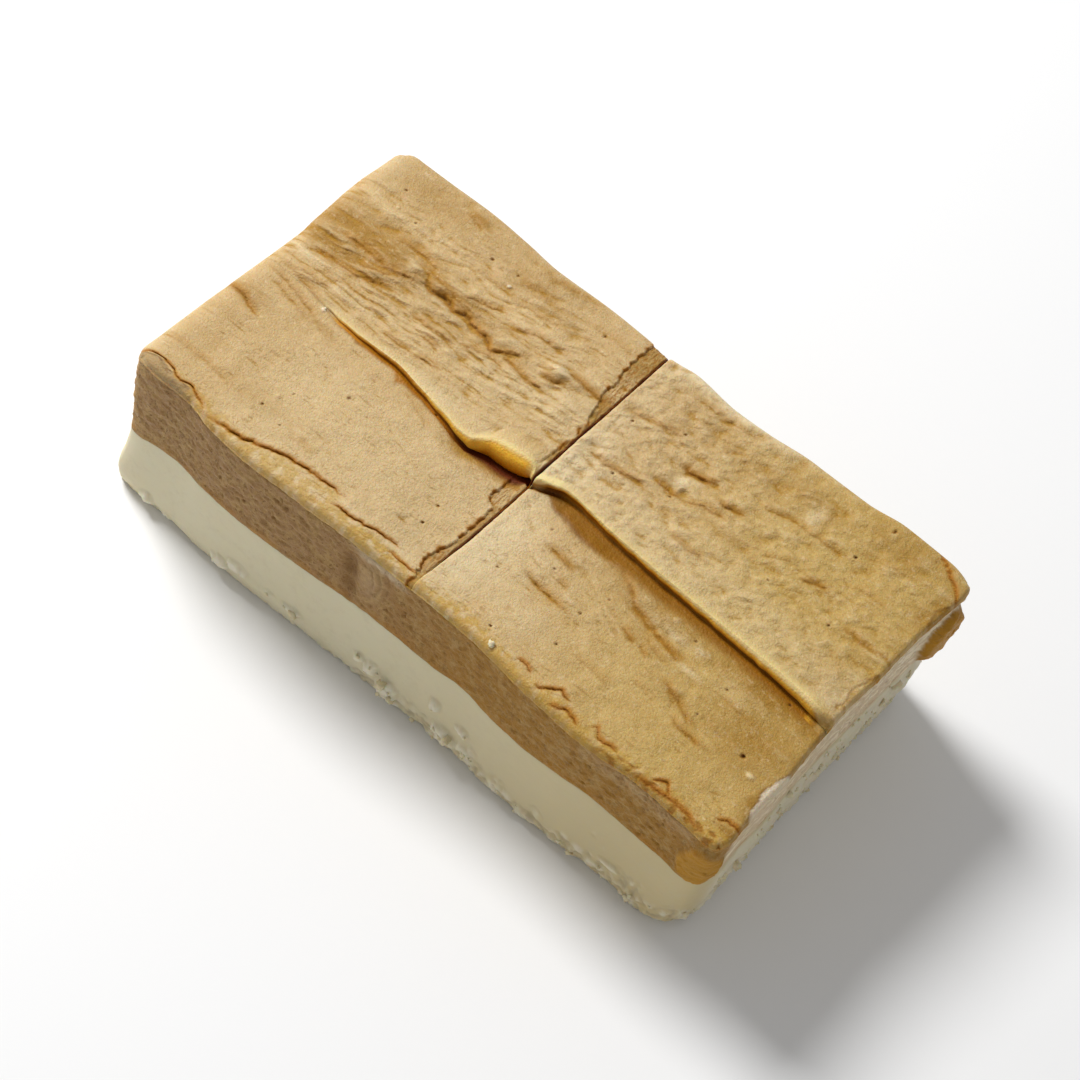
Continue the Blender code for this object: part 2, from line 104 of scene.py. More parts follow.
# Lumps of dry cream on the lower front: along x, height, half length, half height, and how far they stand out.
CREAM_LUMPS = [(4.5, 2.5, 1.6, 1.3, 0.7), (20.0, 3.0, 1.6, 1.6, 0.7), (23.0, 4.8, 2.6, 1.1, 0.5),
               (29.5, 4.9, 1.3, 0.6, 0.3), (34.0, 4.8, 2.2, 0.9, 0.4), (46.6, 6.6, 1.0, 1.0, 0.6),
               (49.0, 6.0, 1.6, 1.5, 0.7), (52.6, 3.8, 2.2, 2.2, 0.9), (61.0, 9.3, 1.1, 1.3, 0.7),
               (66.5, 9.0, 1.4, 0.7, 0.6), (63.5, 4.2, 2.4, 2.4, 0.8), (68.0, 5.2, 1.8, 1.7, 0.5),
               (74.5, 3.5, 2.0, 1.1, 0.4), (81.0, 2.4, 1.7, 0.9, 0.5), (89.0, 3.3, 1.0, 0.9, 0.4),
               (95.0, 6.5, 2.2, 0.9, 0.4), (98.0, 4.2, 2.2, 0.9, 0.3)]


def along(t, knots):
    """A smooth curve through knots (place, value): cubic pieces whose slope at a knot is the harmonic mean of
    the slopes to its neighbours, or level at a peak, so that it never overshoots. It stays level past the ends."""
    place, value = np.array(knots, float).T
    chord = np.diff(value) / np.diff(place)
    same_way = chord[:-1] * chord[1:] > 0
    total = np.where(same_way, chord[:-1] + chord[1:], 1.0)
    slope = np.concatenate([[0.0], np.where(same_way, 2 * chord[:-1] * chord[1:] / total, 0.0), [0.0]])
    t = np.clip(t, place[0], place[-1])
    i = np.clip(np.searchsorted(place, t) - 1, 0, len(place) - 2)
    span = place[i + 1] - place[i]
    s = (t - place[i]) / span
    start = value[i] * (1 + 2 * s) + slope[i] * span * s
    end = value[i + 1] * (3 - 2 * s) - slope[i + 1] * span * (1 - s)
    return start * (1 - s) ** 2 + end * s ** 2


def ease(t, low, high):
    """0 below low, 1 above high, and a smooth cubic step between them."""
    s = np.clip((t - low) / (high - low), 0, 1)
    return s * s * (3 - 2 * s)


def noise(points, size, seed):
    """Smooth random hills, about -1 to 1: each whole-number corner round a point has its own slope, and a
    fifth-power step blends the corners' slopes. size is the length of one cell, for all axes or for each."""
    places = points / np.asarray(size, float)
    cell = np.floor(places).astype(np.int64)
    inside = places - cell
    blend = inside ** 3 * (inside * (inside * 6 - 15) + 10)
    chance = np.random.default_rng(seed)
    slopes = chance.normal(size=(1024, places.shape[-1]))
    slopes /= np.linalg.norm(slopes, axis=1, keepdims=True)
    order = chance.permutation(1024)
    total = np.zeros(places.shape[:-1])
    for corner in np.ndindex(*(2,) * places.shape[-1]):
        pick = np.zeros(places.shape[:-1], np.int64)
        for axis, step in enumerate(corner):
            pick = order[(pick + cell[..., axis] + step) % 1024]
        share = np.prod(np.where(corner, blend, 1 - blend), axis=-1)
        total += share * ((inside - corner) * slopes[pick]).sum(-1)
    return total * 1.5


def rough(points, size, octaves, seed, creased=False):
    """Octaves of noise, each half as large and half as strong as the one before. Creased octaves are folded
    about zero, which gives round pillows between sharp valleys."""
    total, strength = 0.0, 1.0
    for octave in range(octaves):
        layer = noise(points, np.asarray(size, float) / 2 ** octave, seed + octave)
        total = total + strength * (1.8 * abs(layer) - 0.5 if creased else layer)
        strength *= 0.5
    return total


def corner_radius(u, v, z):
    """The vertical corners' radius at height z, taken from the nearest corner."""
    rise = z / HEIGHT
    left, front = u < LENGTH / 2, v < WIDTH / 2
    base = np.where(front, np.where(left, FRONT_LEFT_RADIUS[0], FRONT_RIGHT_RADIUS[0]),
                    np.where(left, BACK_LEFT_RADIUS[0], BACK_RIGHT_RADIUS[0]))
    top = np.where(front, np.where(left, FRONT_LEFT_RADIUS[1], FRONT_RIGHT_RADIUS[1]),
                   np.where(left, BACK_LEFT_RADIUS[1], BACK_RIGHT_RADIUS[1]))
    return base + (top - base) * rise


def stand_out(along_side, z, wave, rise):
    """How far a side stands out from its mean place: a wave along it that fades downwards, and a profile up it."""
    fade = SIDE_WAVE_AT_BASE + (1 - SIDE_WAVE_AT_BASE) * z / HEIGHT
    return along(along_side, wave) * fade + along(z, rise)


def plan(u, v, z):
    """Where point (u, v) of the plain rectangle lies in the slab at height z. Within a corner's square the larger
    of its two distances from the square's inner corner becomes its reach, which rounds the corner. Then each
    side carries the points near it outwards."""
    radius = corner_radius(u, v, z)
    du = np.maximum(radius - u, 0) - np.maximum(u - LENGTH + radius, 0)
    dv = np.maximum(radius - v, 0) - np.maximum(v - WIDTH + radius, 0)
    reach = np.maximum(abs(du), abs(dv)) / np.maximum(np.hypot(du, dv), 1e-9)
    x = u + du * (1 - reach)
    y = v + dv * (1 - reach)
    x = x - stand_out(v, z, LEFT_WAVE, LEFT_RISE) * np.exp(-(u / SIDE_FADE) ** 2)
    x = x + stand_out(v, z, RIGHT_WAVE, RIGHT_RISE) * np.exp(-((LENGTH - u) / SIDE_FADE) ** 2)
    y = y - stand_out(u, z, FRONT_WAVE, FRONT_RISE) * np.exp(-(v / SIDE_FADE) ** 2)
    y = y + stand_out(u, z, BACK_WAVE, BACK_RISE) * np.exp(-((WIDTH - v) / SIDE_FADE) ** 2)
    return x, y


def cut_line():
    """The plain rectangle's outline as (u, v): front, right end, back, left end, with a point each WALL_STEP."""
    across = np.arange(0, 1, WALL_STEP / LENGTH)
    up = np.arange(0, 1, WALL_STEP / WIDTH)
    u = np.concatenate([across, np.ones_like(up), 1 - across, np.zeros_like(up)]) * LENGTH
    v = np.concatenate([0 * across, up, np.ones_like(across), 1 - up]) * WIDTH
    return u, v


def outwards(points):
    """The level unit vector that points out of the slab at each point of rows that run round it."""
    ahead = np.roll(points, -1, axis=1) - np.roll(points, 1, axis=1)
    out = np.stack([ahead[..., 1], -ahead[..., 0], np.zeros(ahead.shape[:2])], -1)
    return out / np.maximum(np.linalg.norm(out, axis=-1, keepdims=True), 1e-9)


def layer_joint(x, y):
    """The height of the joint between the layers, with the small waver that the poured caramel gave it."""
    flat = np.stack([x, y], -1)
    return CREAM_HEIGHT + along(x, JOINT_ALONG_X) + along(y, JOINT_ALONG_Y) + 0.12 * rough(flat, 1.8, 2, 11)


def blade_marks(points):
    """What the knife leaves on both layers: slow waves, and fine streaks along the cut."""
    return 0.10 * noise(points, 11.0, 21) + 0.03 * noise(points, (4.0, 4.0, 0.8), 22)


def lump(points, places, seed):
    """How far dry lumps stand out of the front at each point: ovals with uneven rims, steep at the edge and
    rounded on top. places holds (along x, height, half length, half height, how far it stands out)."""
    total = np.zeros(points.shape[:-1])
    x, y, z = np.moveaxis(points, -1, 0)
    waver = 0.5 * rough(points, 1.6, 3, seed)
    for middle_x, middle_z, half_x, half_z, height in places:
        far = np.hypot((x - middle_x) / half_x, (z - middle_z) / half_z) + waver
        total = np.maximum(total, height * (1 - ease(far, 0.35, 1.15)) * (y < 6))
    return total


def crumbling(points, height_above_foot):
    """How torn each point of the cream's side is, 0 to 1: a ragged band along the foot, high where the slab
    broke away from the tray."""
    x, y, z = np.moveaxis(points, -1, 0)
    front = np.exp(-(np.maximum(y, 0) / 8.0) ** 2)
    reach = along(x, [(0, 1.4), (18, 0.5), (40, 1.2), (47, 3.0), (56, 4.4), (68, 6.5), (80, 5.0), (92, 7.5),
                      (102, 6.5), (108, 6.0)]) * front + 4.0 * (1 - front)
    reach = reach * (1 + 0.7 * rough(points, 4.5, 3, 31))
    return 1 - ease(height_above_foot, 0.6 * reach, reach + 0.3)


def ring_faces(first, second):
    """The four-sided faces between two closed rows of points, the first above the second."""
    return np.stack([first, second, np.roll(second, -1), np.roll(first, -1)], -1)


def closed_wall(rows):
    """Points and faces of a closed body from rows that run round it, from its top inwards row to its bottom
    inwards row. A point in the middle closes each end."""
    count, around = rows.shape[:2]
    index = np.arange(count * around).reshape(count, around)
    quads = np.concatenate([ring_faces(index[i], index[i + 1]) for i in range(count - 1)])
    top, bottom = count * around, count * around + 1
    fan_top = np.stack([np.full(around, top), index[0], np.roll(index[0], -1)], -1)
    fan_bottom = np.stack([np.full(around, bottom), np.roll(index[-1], -1), index[-1]], -1)
    points = np.concatenate([rows.reshape(-1, 3), [rows[0].mean(0)], [rows[-1].mean(0)]])
    return points, quads, np.concatenate([fan_top, fan_bottom])


def add_piece(name, points, quads, triangles, material, marks):
    """One piece from millimetre points and faces. marks are numbers for each point that its material reads."""
    mesh = bpy.data.meshes.new(name)
    place = (points - (MIDDLE_X, MIDDLE_Y, 0)) * MM
    mesh.vertices.add(len(place))
    mesh.vertices.foreach_set("co", place.astype(np.float32).ravel())
    corners = np.concatenate([quads.ravel(), triangles.ravel()])
    sizes = np.concatenate([np.full(len(quads), 4), np.full(len(triangles), 3)])
    mesh.loops.add(len(corners))
    mesh.loops.foreach_set("vertex_index", corners.astype(np.int32))
    mesh.polygons.add(len(sizes))
    mesh.polygons.foreach_set("loop_start", (np.cumsum(sizes) - sizes).astype(np.int32))
    mesh.update(calc_edges=True)
    mesh.shade_smooth()
    for mark, values in marks.items():
        layer = mesh.attributes.new(mark, "FLOAT", "POINT")
        layer.data.foreach_set("value", np.clip(values, 0, 1).astype(np.float32))
    mesh.materials.append(material)
    piece = bpy.data.objects.new(name, mesh)
    bpy.context.scene.collection.objects.link(piece)
    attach(piece, "root")
    return piece


class Signal:
    """A node's output in a material. Sums on signals add Math nodes, and node() adds any other node."""

    def __init__(self, socket):
        self.socket = socket

    def node(self, kind, settings, values, output=0):
        """A new node: its settings first, a ramp's stops among them, then its sockets' values or links."""
        tree = self.socket.id_data
        new = tree.nodes.new(kind)
        for name, value in settings.items():
            if name == "stops":
                elements = new.color_ramp.elements
                for stop, (place, level) in enumerate(value):
                    element = elements[stop] if stop < 2 else elements.new(place)
                    element.position = place
                    element.color = (level, level, level, 1)
            else:
                setattr(new, name, value)
        for place, value in values.items():
            if isinstance(value, Signal):
                tree.links.new(value.socket, new.inputs[place])
            else:
                new.inputs[place].default_value = value
        return Signal(new.outputs[output])

    def math(self, operation, first, second):
        return self.node("ShaderNodeMath", {"operation": operation}, {0: first, 1: second})

    def __add__(self, other):
        return self.math("ADD", self, other)

    def __sub__(self, other):
        return self.math("SUBTRACT", self, other)

    def __rsub__(self, other):
        return self.math("SUBTRACT", other, self)

    def __mul__(self, other):
        return self.math("MULTIPLY", self, other)

    __radd__ = __add__
    __rmul__ = __mul__

    def mark(self, name):
        """The piece's own mark of that name."""
        return self.node("ShaderNodeAttribute", {"attribute_name": name}, {}, "Fac")

    def grain(self, size, detail=2.0, roughness=0.5):
        """Soft noise, 0 to 1, with features of about size millimetres, on the place that this signal gives."""
        values = {"Vector": self, "Scale": 1 / (size * MM), "Detail": detail, "Roughness": roughness}
        return self.node("ShaderNodeTexNoise", {}, values)

    def step(self, low, high):
        """This signal turned into a smooth step from 0 at low to 1 at high."""
        values = {"Value": self, "From Min": low, "From Max": high}
        return self.node("ShaderNodeMapRange", {"interpolation_type": "SMOOTHSTEP"}, values)

    def tint(self, colour, amount):
        """This colour mixed with another by amount, a number or a signal."""
        values = {0: amount, 6: self, 7: (*colour, 1.0) if isinstance(colour, tuple) else colour}
        return self.node("ShaderNodeMix", {"data_type": "RGBA"}, values, 2)


def fudge_material(name, paint, fine_grain, grain_depth, glow):
    """Fudge: matt and slightly waxy, so that some light wanders through it. paint makes the colour and the
    roughness from the place on the object; two sizes of grain raise the surface by grain_depth millimetres."""
    material = bpy.data.materials.new(name)
    material.use_nodes = True
    tree = material.node_tree
    shader = tree.nodes["Principled BSDF"]
    place = Signal(tree.nodes.new("ShaderNodeTexCoord").outputs["Object"])
    colour, roughness = paint(place)
    height = place.grain(fine_grain, 3.0, 0.6) * 0.6 + place.grain(fine_grain * 3.4, 2.0) * 0.4
    values = {"Height": height, "Strength": 1.0, "Distance": grain_depth * MM}
    bump = place.node("ShaderNodeBump", {}, values)
    tree.links.new(colour.socket, shader.inputs["Base Color"])
    tree.links.new(roughness.socket, shader.inputs["Roughness"])
    tree.links.new(bump.socket, shader.inputs["Normal"])
    shader.inputs["Subsurface Weight"].default_value = glow
    shader.inputs["Subsurface Radius"].default_value = (1.0, 0.48, 0.16)
    shader.inputs["Subsurface Scale"].default_value = 1.6 * MM
    shader.inputs["Specular IOR Level"].default_value = 0.25
    shader.inputs["IOR"].default_value = 1.44
    return material


def cream_paint(place):
    """Ivory, a little deeper and yellower in slow clouds, chalky on lumps and dry edges, with brown painted shade in
    the dents of the torn band.
    """
    start = place.node("ShaderNodeMix", {"data_type": "RGBA"},
                       {0: place.grain(14.0), 6: (0.74, 0.68, 0.48, 1), 7: (0.69, 0.61, 0.40, 1)}, 2)
    colour = start.tint((0.60, 0.475, 0.235), place.mark("golden") * 0.75)
    colour = colour.tint((0.84, 0.80, 0.66), place.mark("chalk") * 0.6)
    colour = colour.tint((0.60, 0.47, 0.24), place.mark("stain") * 0.75)
    # Painted shade in the dents of the torn band.
    colour = colour.tint((0.52, 0.43, 0.27), place.mark("hollow_shade") * 0.8)
    colour = colour.tint((0.60, 0.52, 0.34), place.grain(2.6, 6.0, 0.8).step(0.48, 0.68) * 0.3)
    colour = colour.tint((0.66, 0.56, 0.38), place.grain(0.5, 3.0).step(0.66, 0.80) * 0.3)
    roughness = place.grain(2.5) * 0.2 + 0.45 + place.mark("chalk") * 0.25
    return colour, roughness


def cream_wall():
    """The cream's side: rows down from the joint to the torn foot, carried out of the slab by the knife's marks,
    the lumps and the crumbling band; then rows in under the base, which lies flat."""
    u, v = cut_line()
    head_x, head_y = plan(u, v, np.full_like(u, CREAM_HEIGHT))
    head = layer_joint(head_x, head_y)
    front = np.exp(-(v / 6.0) ** 2)
    edge = np.stack([head_x, head_y], -1)
    foot = along(u, FOOT_TEARS) * front + FOOT_LIFT_ELSEWHERE * (1 - front)
    foot = np.maximum(foot + 0.35 * rough(edge, 3.2, 3, 41), 0.02)
    share = np.linspace(0, 1, CREAM_ROWS)[:, None]
    z = head + (foot - head) * share
    x, y = plan(u, v, z)
    points = np.stack([x, y, z], -1)
    torn = crumbling(points, z - foot)
    clods = rough(points, 2.6, 3, 51, creased=True)
    lumps = lump(points, CREAM_LUMPS, 61)
    relief = blade_marks(points) + 0.02 * noise(points, 0.9, 23)
    relief = relief + 1.25 * lumps + torn * (0.40 * clods + 0.14 * rough(points, 1.1, 3, 52) - 0.08)
    end_tear = ease(x, 106.6, 108.0) * ease(y, 2.0, 6.0) * ease(share, 0.03, 0.12)
    relief = relief + end_tear * (0.35 * rough(points, (4.0, 4.0, 2.6), 4, 53) + 0.12)
    relief = relief - 0.35 * ease(share, 0.955, 1.0)
    points = points + outwards(points) * relief[..., None]
    # The dents of the torn band get painted shade.
    dents = ease(-clods, 0.15, 0.6) * torn
    chalk = np.maximum(ease(lumps, 0.1, 0.45), torn * ease(clods, -0.1, 0.5))
    stain = torn * along(x, [(0, 0.0), (60, 0.0), (66, 0.3), (88, 0.4), (94, 0.9), (104, 0.6), (108, 0.3)])
    stain = stain * ease(rough(points, 3.0, 2, 71), -0.2, 0.5) * (y < 20)
    chalk = np.maximum(chalk, 0.85 * end_tear)
    marks = {"chalk": chalk, "stain": stain, "hollow_shade": dents, "golden": ease(x, 40, 105)}
    middle = np.array([MIDDLE_X, MIDDLE_Y])
    under = []
    for inset, level in ((0.995, 0.5), (0.975, 0.0), (0.9, 0.0), (0.6, 0.0), (0.3, 0.0)):
        row = points[-1].copy()
        row[:, :2] = middle + (row[:, :2] - middle) * inset
        row[:, 2] = row[:, 2] * level
        under.append(row)
    over = []
    for inset in (0.3, 0.8, 0.985):
        row = points[0].copy()
        row[:, :2] = middle + (row[:, :2] - middle) * inset
        row[:, 2] = layer_joint(row[:, 0], row[:, 1]) - 0.25
        over.append(row)
    rows = np.concatenate([over, points, under])
    extra = {key: np.concatenate([np.zeros((3, len(u))), value, np.zeros((5, len(u)))]).ravel()
             for key, value in marks.items()}
    return rows, {key: np.append(value, [0, 0]) for key, value in extra.items()}


cream_rows, cream_marks = cream_wall()
cream = add_piece("cream_body", *closed_wall(cream_rows),
                  fudge_material("cream_fudge", cream_paint, 0.35, 0.06, 0.25), cream_marks)
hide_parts("cream_layer")


# ---- The caramel fudge ----------------------------------------------------------------------------------------
# The upper layer where the knife cut it: duller and coarser than the skin, with holes and drag marks. It holds
# the two squares of skin like a shallow tray. At two corners the knife pulled a tongue of it out.

# The rounding between the top and each side.
FRONT_SHOULDER, BACK_SHOULDER, LEFT_SHOULDER, RIGHT_SHOULDER = 1.0, 2.0, 2.4, 0.8

# The top's twist, as heights above HEIGHT at the corners, and broad dips and swells, each with its middle, its
# half lengths along x and y, and its height.
TWIST_FRONT_LEFT, TWIST_FRONT_RIGHT, TWIST_BACK_RIGHT = 0.8, -0.6, -0.2
TOP_SWELLS = [
    (16.0, 43.0, 9.0, 2.4, 0.7), (30.0, 40.5, 8.0, 1.6, -0.5), (43.0, 44.0, 3.5, 1.3, 0.7),
    (23.0, 42.0, 6.0, 0.9, -0.5), (6.0, 37.0, 6.0, 2.0, -0.5), (68.0, 45.0, 3.5, 1.6, -0.5),
    (69.0, 41.0, 3.5, 1.4, -0.4), (80.0, 21.0, 9.0, 1.4, -0.4), (93.0, 12.5, 6.0, 1.4, -0.3),
    (64.0, 14.0, 4.0, 1.0, -0.2), (3.5, 20.0, 2.5, 0.8, -0.4), (96.0, 57.0, 10.0, 5.0, 0.4),
]

# The fold along the top, given along x: the middle line of its roll, and how far the skin behind it stands above
# the skin before it.
FOLD_PATH = [(-3, 28.8), (6, 28.4), (12, 27.9), (18, 27.5), (25, 27.7), (30, 26.9), (36, 25.9), (40, 25.1),
             (41.5, 25.2), (43, 26.5), (45, 27.8), (48, 28.3), (50.5, 28.6), (51.5, 28.3), (52.4, 26.8),
             (53.5, 27.1), (55, 27.9), (58, 28.6), (62, 28.2),
             (66, 27.8), (74, 27.4), (84, 27.1), (95, 26.8), (103, 26.4), (108, 25.7), (112, 25.2)]
FOLD_STEP = [(-3, 0.0), (6, 0.05), (12, 0.2), (20, 0.4), (30, 0.6), (40, 1.0), (50, 1.6), (60, 1.3),
             (75, 1.2), (90, 1.2), (108, 1.3), (112, 1.3)]
STEP_DOWN, STEP_UP = 0.45, 0.55

BORDER_BELOW_SHOULDER = 0.35
SKIN_DEPTH = 26.4
CARAMEL_ROWS = 54

# The open line under the skin along the front: how wide it gapes.
SKIN_GAPE = [(0, 0.0), (3, 0.25), (8, 0.1), (12, 0.3), (22, 0.3), (34, 0.25), (39, 0.1), (48, 0.0), (86, 0.0),
             (92, 0.3), (104, 0.25), (107, 0.0)]


def top_height(x, y):
    """The top skin without its fold and score: a twisted plane with broad dips and swells."""
    s, t = np.clip(x / LENGTH, 0, 1), np.clip(y / WIDTH, 0, 1)
    height = HEIGHT + TWIST_FRONT_LEFT * (1 - s) * (1 - t)
    height = height + TWIST_FRONT_RIGHT * s * (1 - t) + TWIST_BACK_RIGHT * s * t
    for middle_x, middle_y, half_x, half_y, rise in TOP_SWELLS:
        height = height + rise * np.exp(-((x - middle_x) / half_x) ** 2 - ((y - middle_y) / half_y) ** 2)
    return height


def shoulder(u, v):
    """The rounding's radius at the nearest sides, and how far the top has dropped there: a quarter circle."""
    near = [np.clip(1 - u / LEFT_SHOULDER, 0, 1), np.clip(1 - (LENGTH - u) / RIGHT_SHOULDER, 0, 1),
            np.clip(1 - v / FRONT_SHOULDER, 0, 1), np.clip(1 - (WIDTH - v) / BACK_SHOULDER, 0, 1)]
    radii = [LEFT_SHOULDER, RIGHT_SHOULDER, FRONT_SHOULDER, BACK_SHOULDER]
    weight = sum(n ** 2 for n in near)
    radius = sum(n ** 2 * r for n, r in zip(near, radii)) / np.maximum(weight, 1e-9)
    return radius, radius * (1 - np.sqrt(1 - np.minimum(weight, 1)))


def skin_border(u, v):
    """The height at which the skin ends on the side at (u, v): a little below the shoulder, ragged, and stepped
    where the fold meets the side."""
    step = along(u, FOLD_STEP)
    level = -STEP_DOWN * step + step * ease(v - along(u, FOLD_PATH), -1.5, 1.5)
    radius, _ = shoulder(u, v)
    edge = np.stack([u, v], -1)
    ragged = 0.16 * rough(edge, 2.4, 3, 81)
    return top_height(u, v) + level - radius - BORDER_BELOW_SHOULDER + ragged


def tongue(points, middle, spread, height):
    """A tongue of caramel pulled over a corner: a low plateau with a steep, uneven rim."""
    far = np.linalg.norm((points - middle) / spread, axis=-1)
    return height * (1 - ease(far + 0.12 * rough(points, 2.5, 2, 91), 0.75, 1.12))


def drag(points):
    """How far the pulled caramel stands out of the side."""
    front_corner = tongue(points, (107.5, -0.5, 22.3), (4.2, 3.2, 5.4), 0.75)
    back_corner = tongue(points, (110.0, 55.5, 24.0), (4.0, 4.2, 6.2), 1.7)
    return np.maximum(front_corner, back_corner)


def caramel_relief(points):
    """The cut caramel: a fine grain; on the left, slanting dashes and small holes; at the upper right, torn crumbs; and
    a dent with a smooth swirl beside it near the middle of the front. Gives the relief; how deep its hollows are, which
    sets the painted shade in its holes, dashes, crumbs, dent and rings; and where the swirl lies."""
    x, y, z = np.moveaxis(points, -1, 0)
    coarse = 1 - 0.3 * ease(x, 40, 62) * (y < 30)
    slant = np.stack([x + 0.9 * z, y + 0.9 * z, z - 0.45 * (x + y)], -1)
    dashes = ease(noise(slant, (2.4, 2.4, 0.55), 101), 0.28, 0.62)
    clusters = ease(noise(points, 6.0, 102), -0.15, 0.35)
    holes = ease(noise(points, 0.8, 103), 0.42, 0.66) * clusters
    torn = ease(x, 87, 92) * (1 - ease(x, 103, 107)) * ease(z, 25.5, 28.5) * (y < 6)
    torn = torn * ease(rough(points, 3.0, 2, 104), -0.3, 0.25)
    crumbs = rough(points, (2.0, 2.0, 1.1), 3, 105, creased=True)
    dent = np.exp(-((x - 41.3 - 0.12 * (24 - z)) / 1.3) ** 2 - ((z - 23.5) / 4.5) ** 4) * (y < 6)
    dent = dent * (1 - 0.5 * np.exp(-((z - 22.6) / 0.9) ** 2))
    swirl = np.exp(-((x - 45.2) / 2.4) ** 2 - ((z - 25.5) / 5.0) ** 2) * (y < 6)
    ring_reach = np.hypot(x - 43.2, 0.75 * (z - 25.5)) + 0.35 * noise(points, 2.5, 108)
    rings = np.sin(2 * np.pi * ring_reach / 1.3)
    smooth = 1 - 0.8 * np.maximum(dent, swirl)
    relief = 0.25 * coarse * smooth * rough(points, (1.6, 1.6, 0.9), 4, 106)
    relief = relief + 0.12 * noise(points, (5, 5, 2.5), 107)
    relief = relief - smooth * coarse * (0.13 * dashes + 0.42 * holes) - 0.9 * dent + 0.45 * swirl
    ringed = ease(ring_reach, 1.6, 2.4) * (1 - ease(ring_reach, 5.0, 6.8)) * ease(x, 43.0, 45.0) * (y < 6)
    ringed = ringed * (0.45 + 0.55 * ease(noise(points, 1.8, 109), -0.2, 0.4))
    relief = relief + 0.16 * rings * ringed
    relief = relief + torn * (0.35 * crumbs - 0.12)
    hollow_shade = np.maximum(smooth * coarse * np.maximum(0.55 * dashes * clusters, holes), 0.5 * torn * ease(-crumbs, 0.1, 0.5))
    return relief, np.maximum(np.maximum(hollow_shade, 1.5 * dent), 0.6 * ease(-rings, 0.2, 0.9) * ringed), swirl


def caramel_paint(place):
    """Cut caramel: pinkish brown at the left end and golden brown at the right. It has painted shade in its holes,
    dashes and dent, and is paler on dry streaks, the swirl and a strip below the skin. The right end face is lightened
    as painted light, and the caramel is warm where it meets the cream."""
    start = place.node("ShaderNodeMix", {"data_type": "RGBA"},
                       {0: place.mark("golden"), 6: (0.37, 0.21, 0.08, 1), 7: (0.375, 0.18, 0.018, 1)}, 2)
    colour = start.tint((0.48, 0.31, 0.11), place.grain(1.8, 6.0, 0.8).step(0.45, 0.60) * 0.65)
    colour = colour.tint((0.23, 0.11, 0.02), place.grain(1.3, 6.0, 0.8).step(0.50, 0.64) * 0.6)
    # Paler swirl, strip and dry streaks, and painted light on the right end face.
    colour = colour.tint((0.96, 0.82, 0.58), place.mark("pale_and_painted_light") * 0.95)
    colour = colour.tint((0.42, 0.17, 0.005), place.mark("warm") * 0.6)
    colour = colour.tint((0.52, 0.25, 0.01), place.mark("pulled") * 0.9)
    # Painted shade in the holes, dashes, torn crumbs, dent and the rings' troughs.
    colour = colour.tint((0.19, 0.08, 0.008), place.mark("hollow_shade") * 0.6)
    colour = colour.tint((0.16, 0.08, 0.02), place.grain(0.5, 3.0).step(0.58, 0.68) * place.mark("pored"))
    roughness = place.grain(1.8) * 0.2 + 0.42
    return colour, roughness


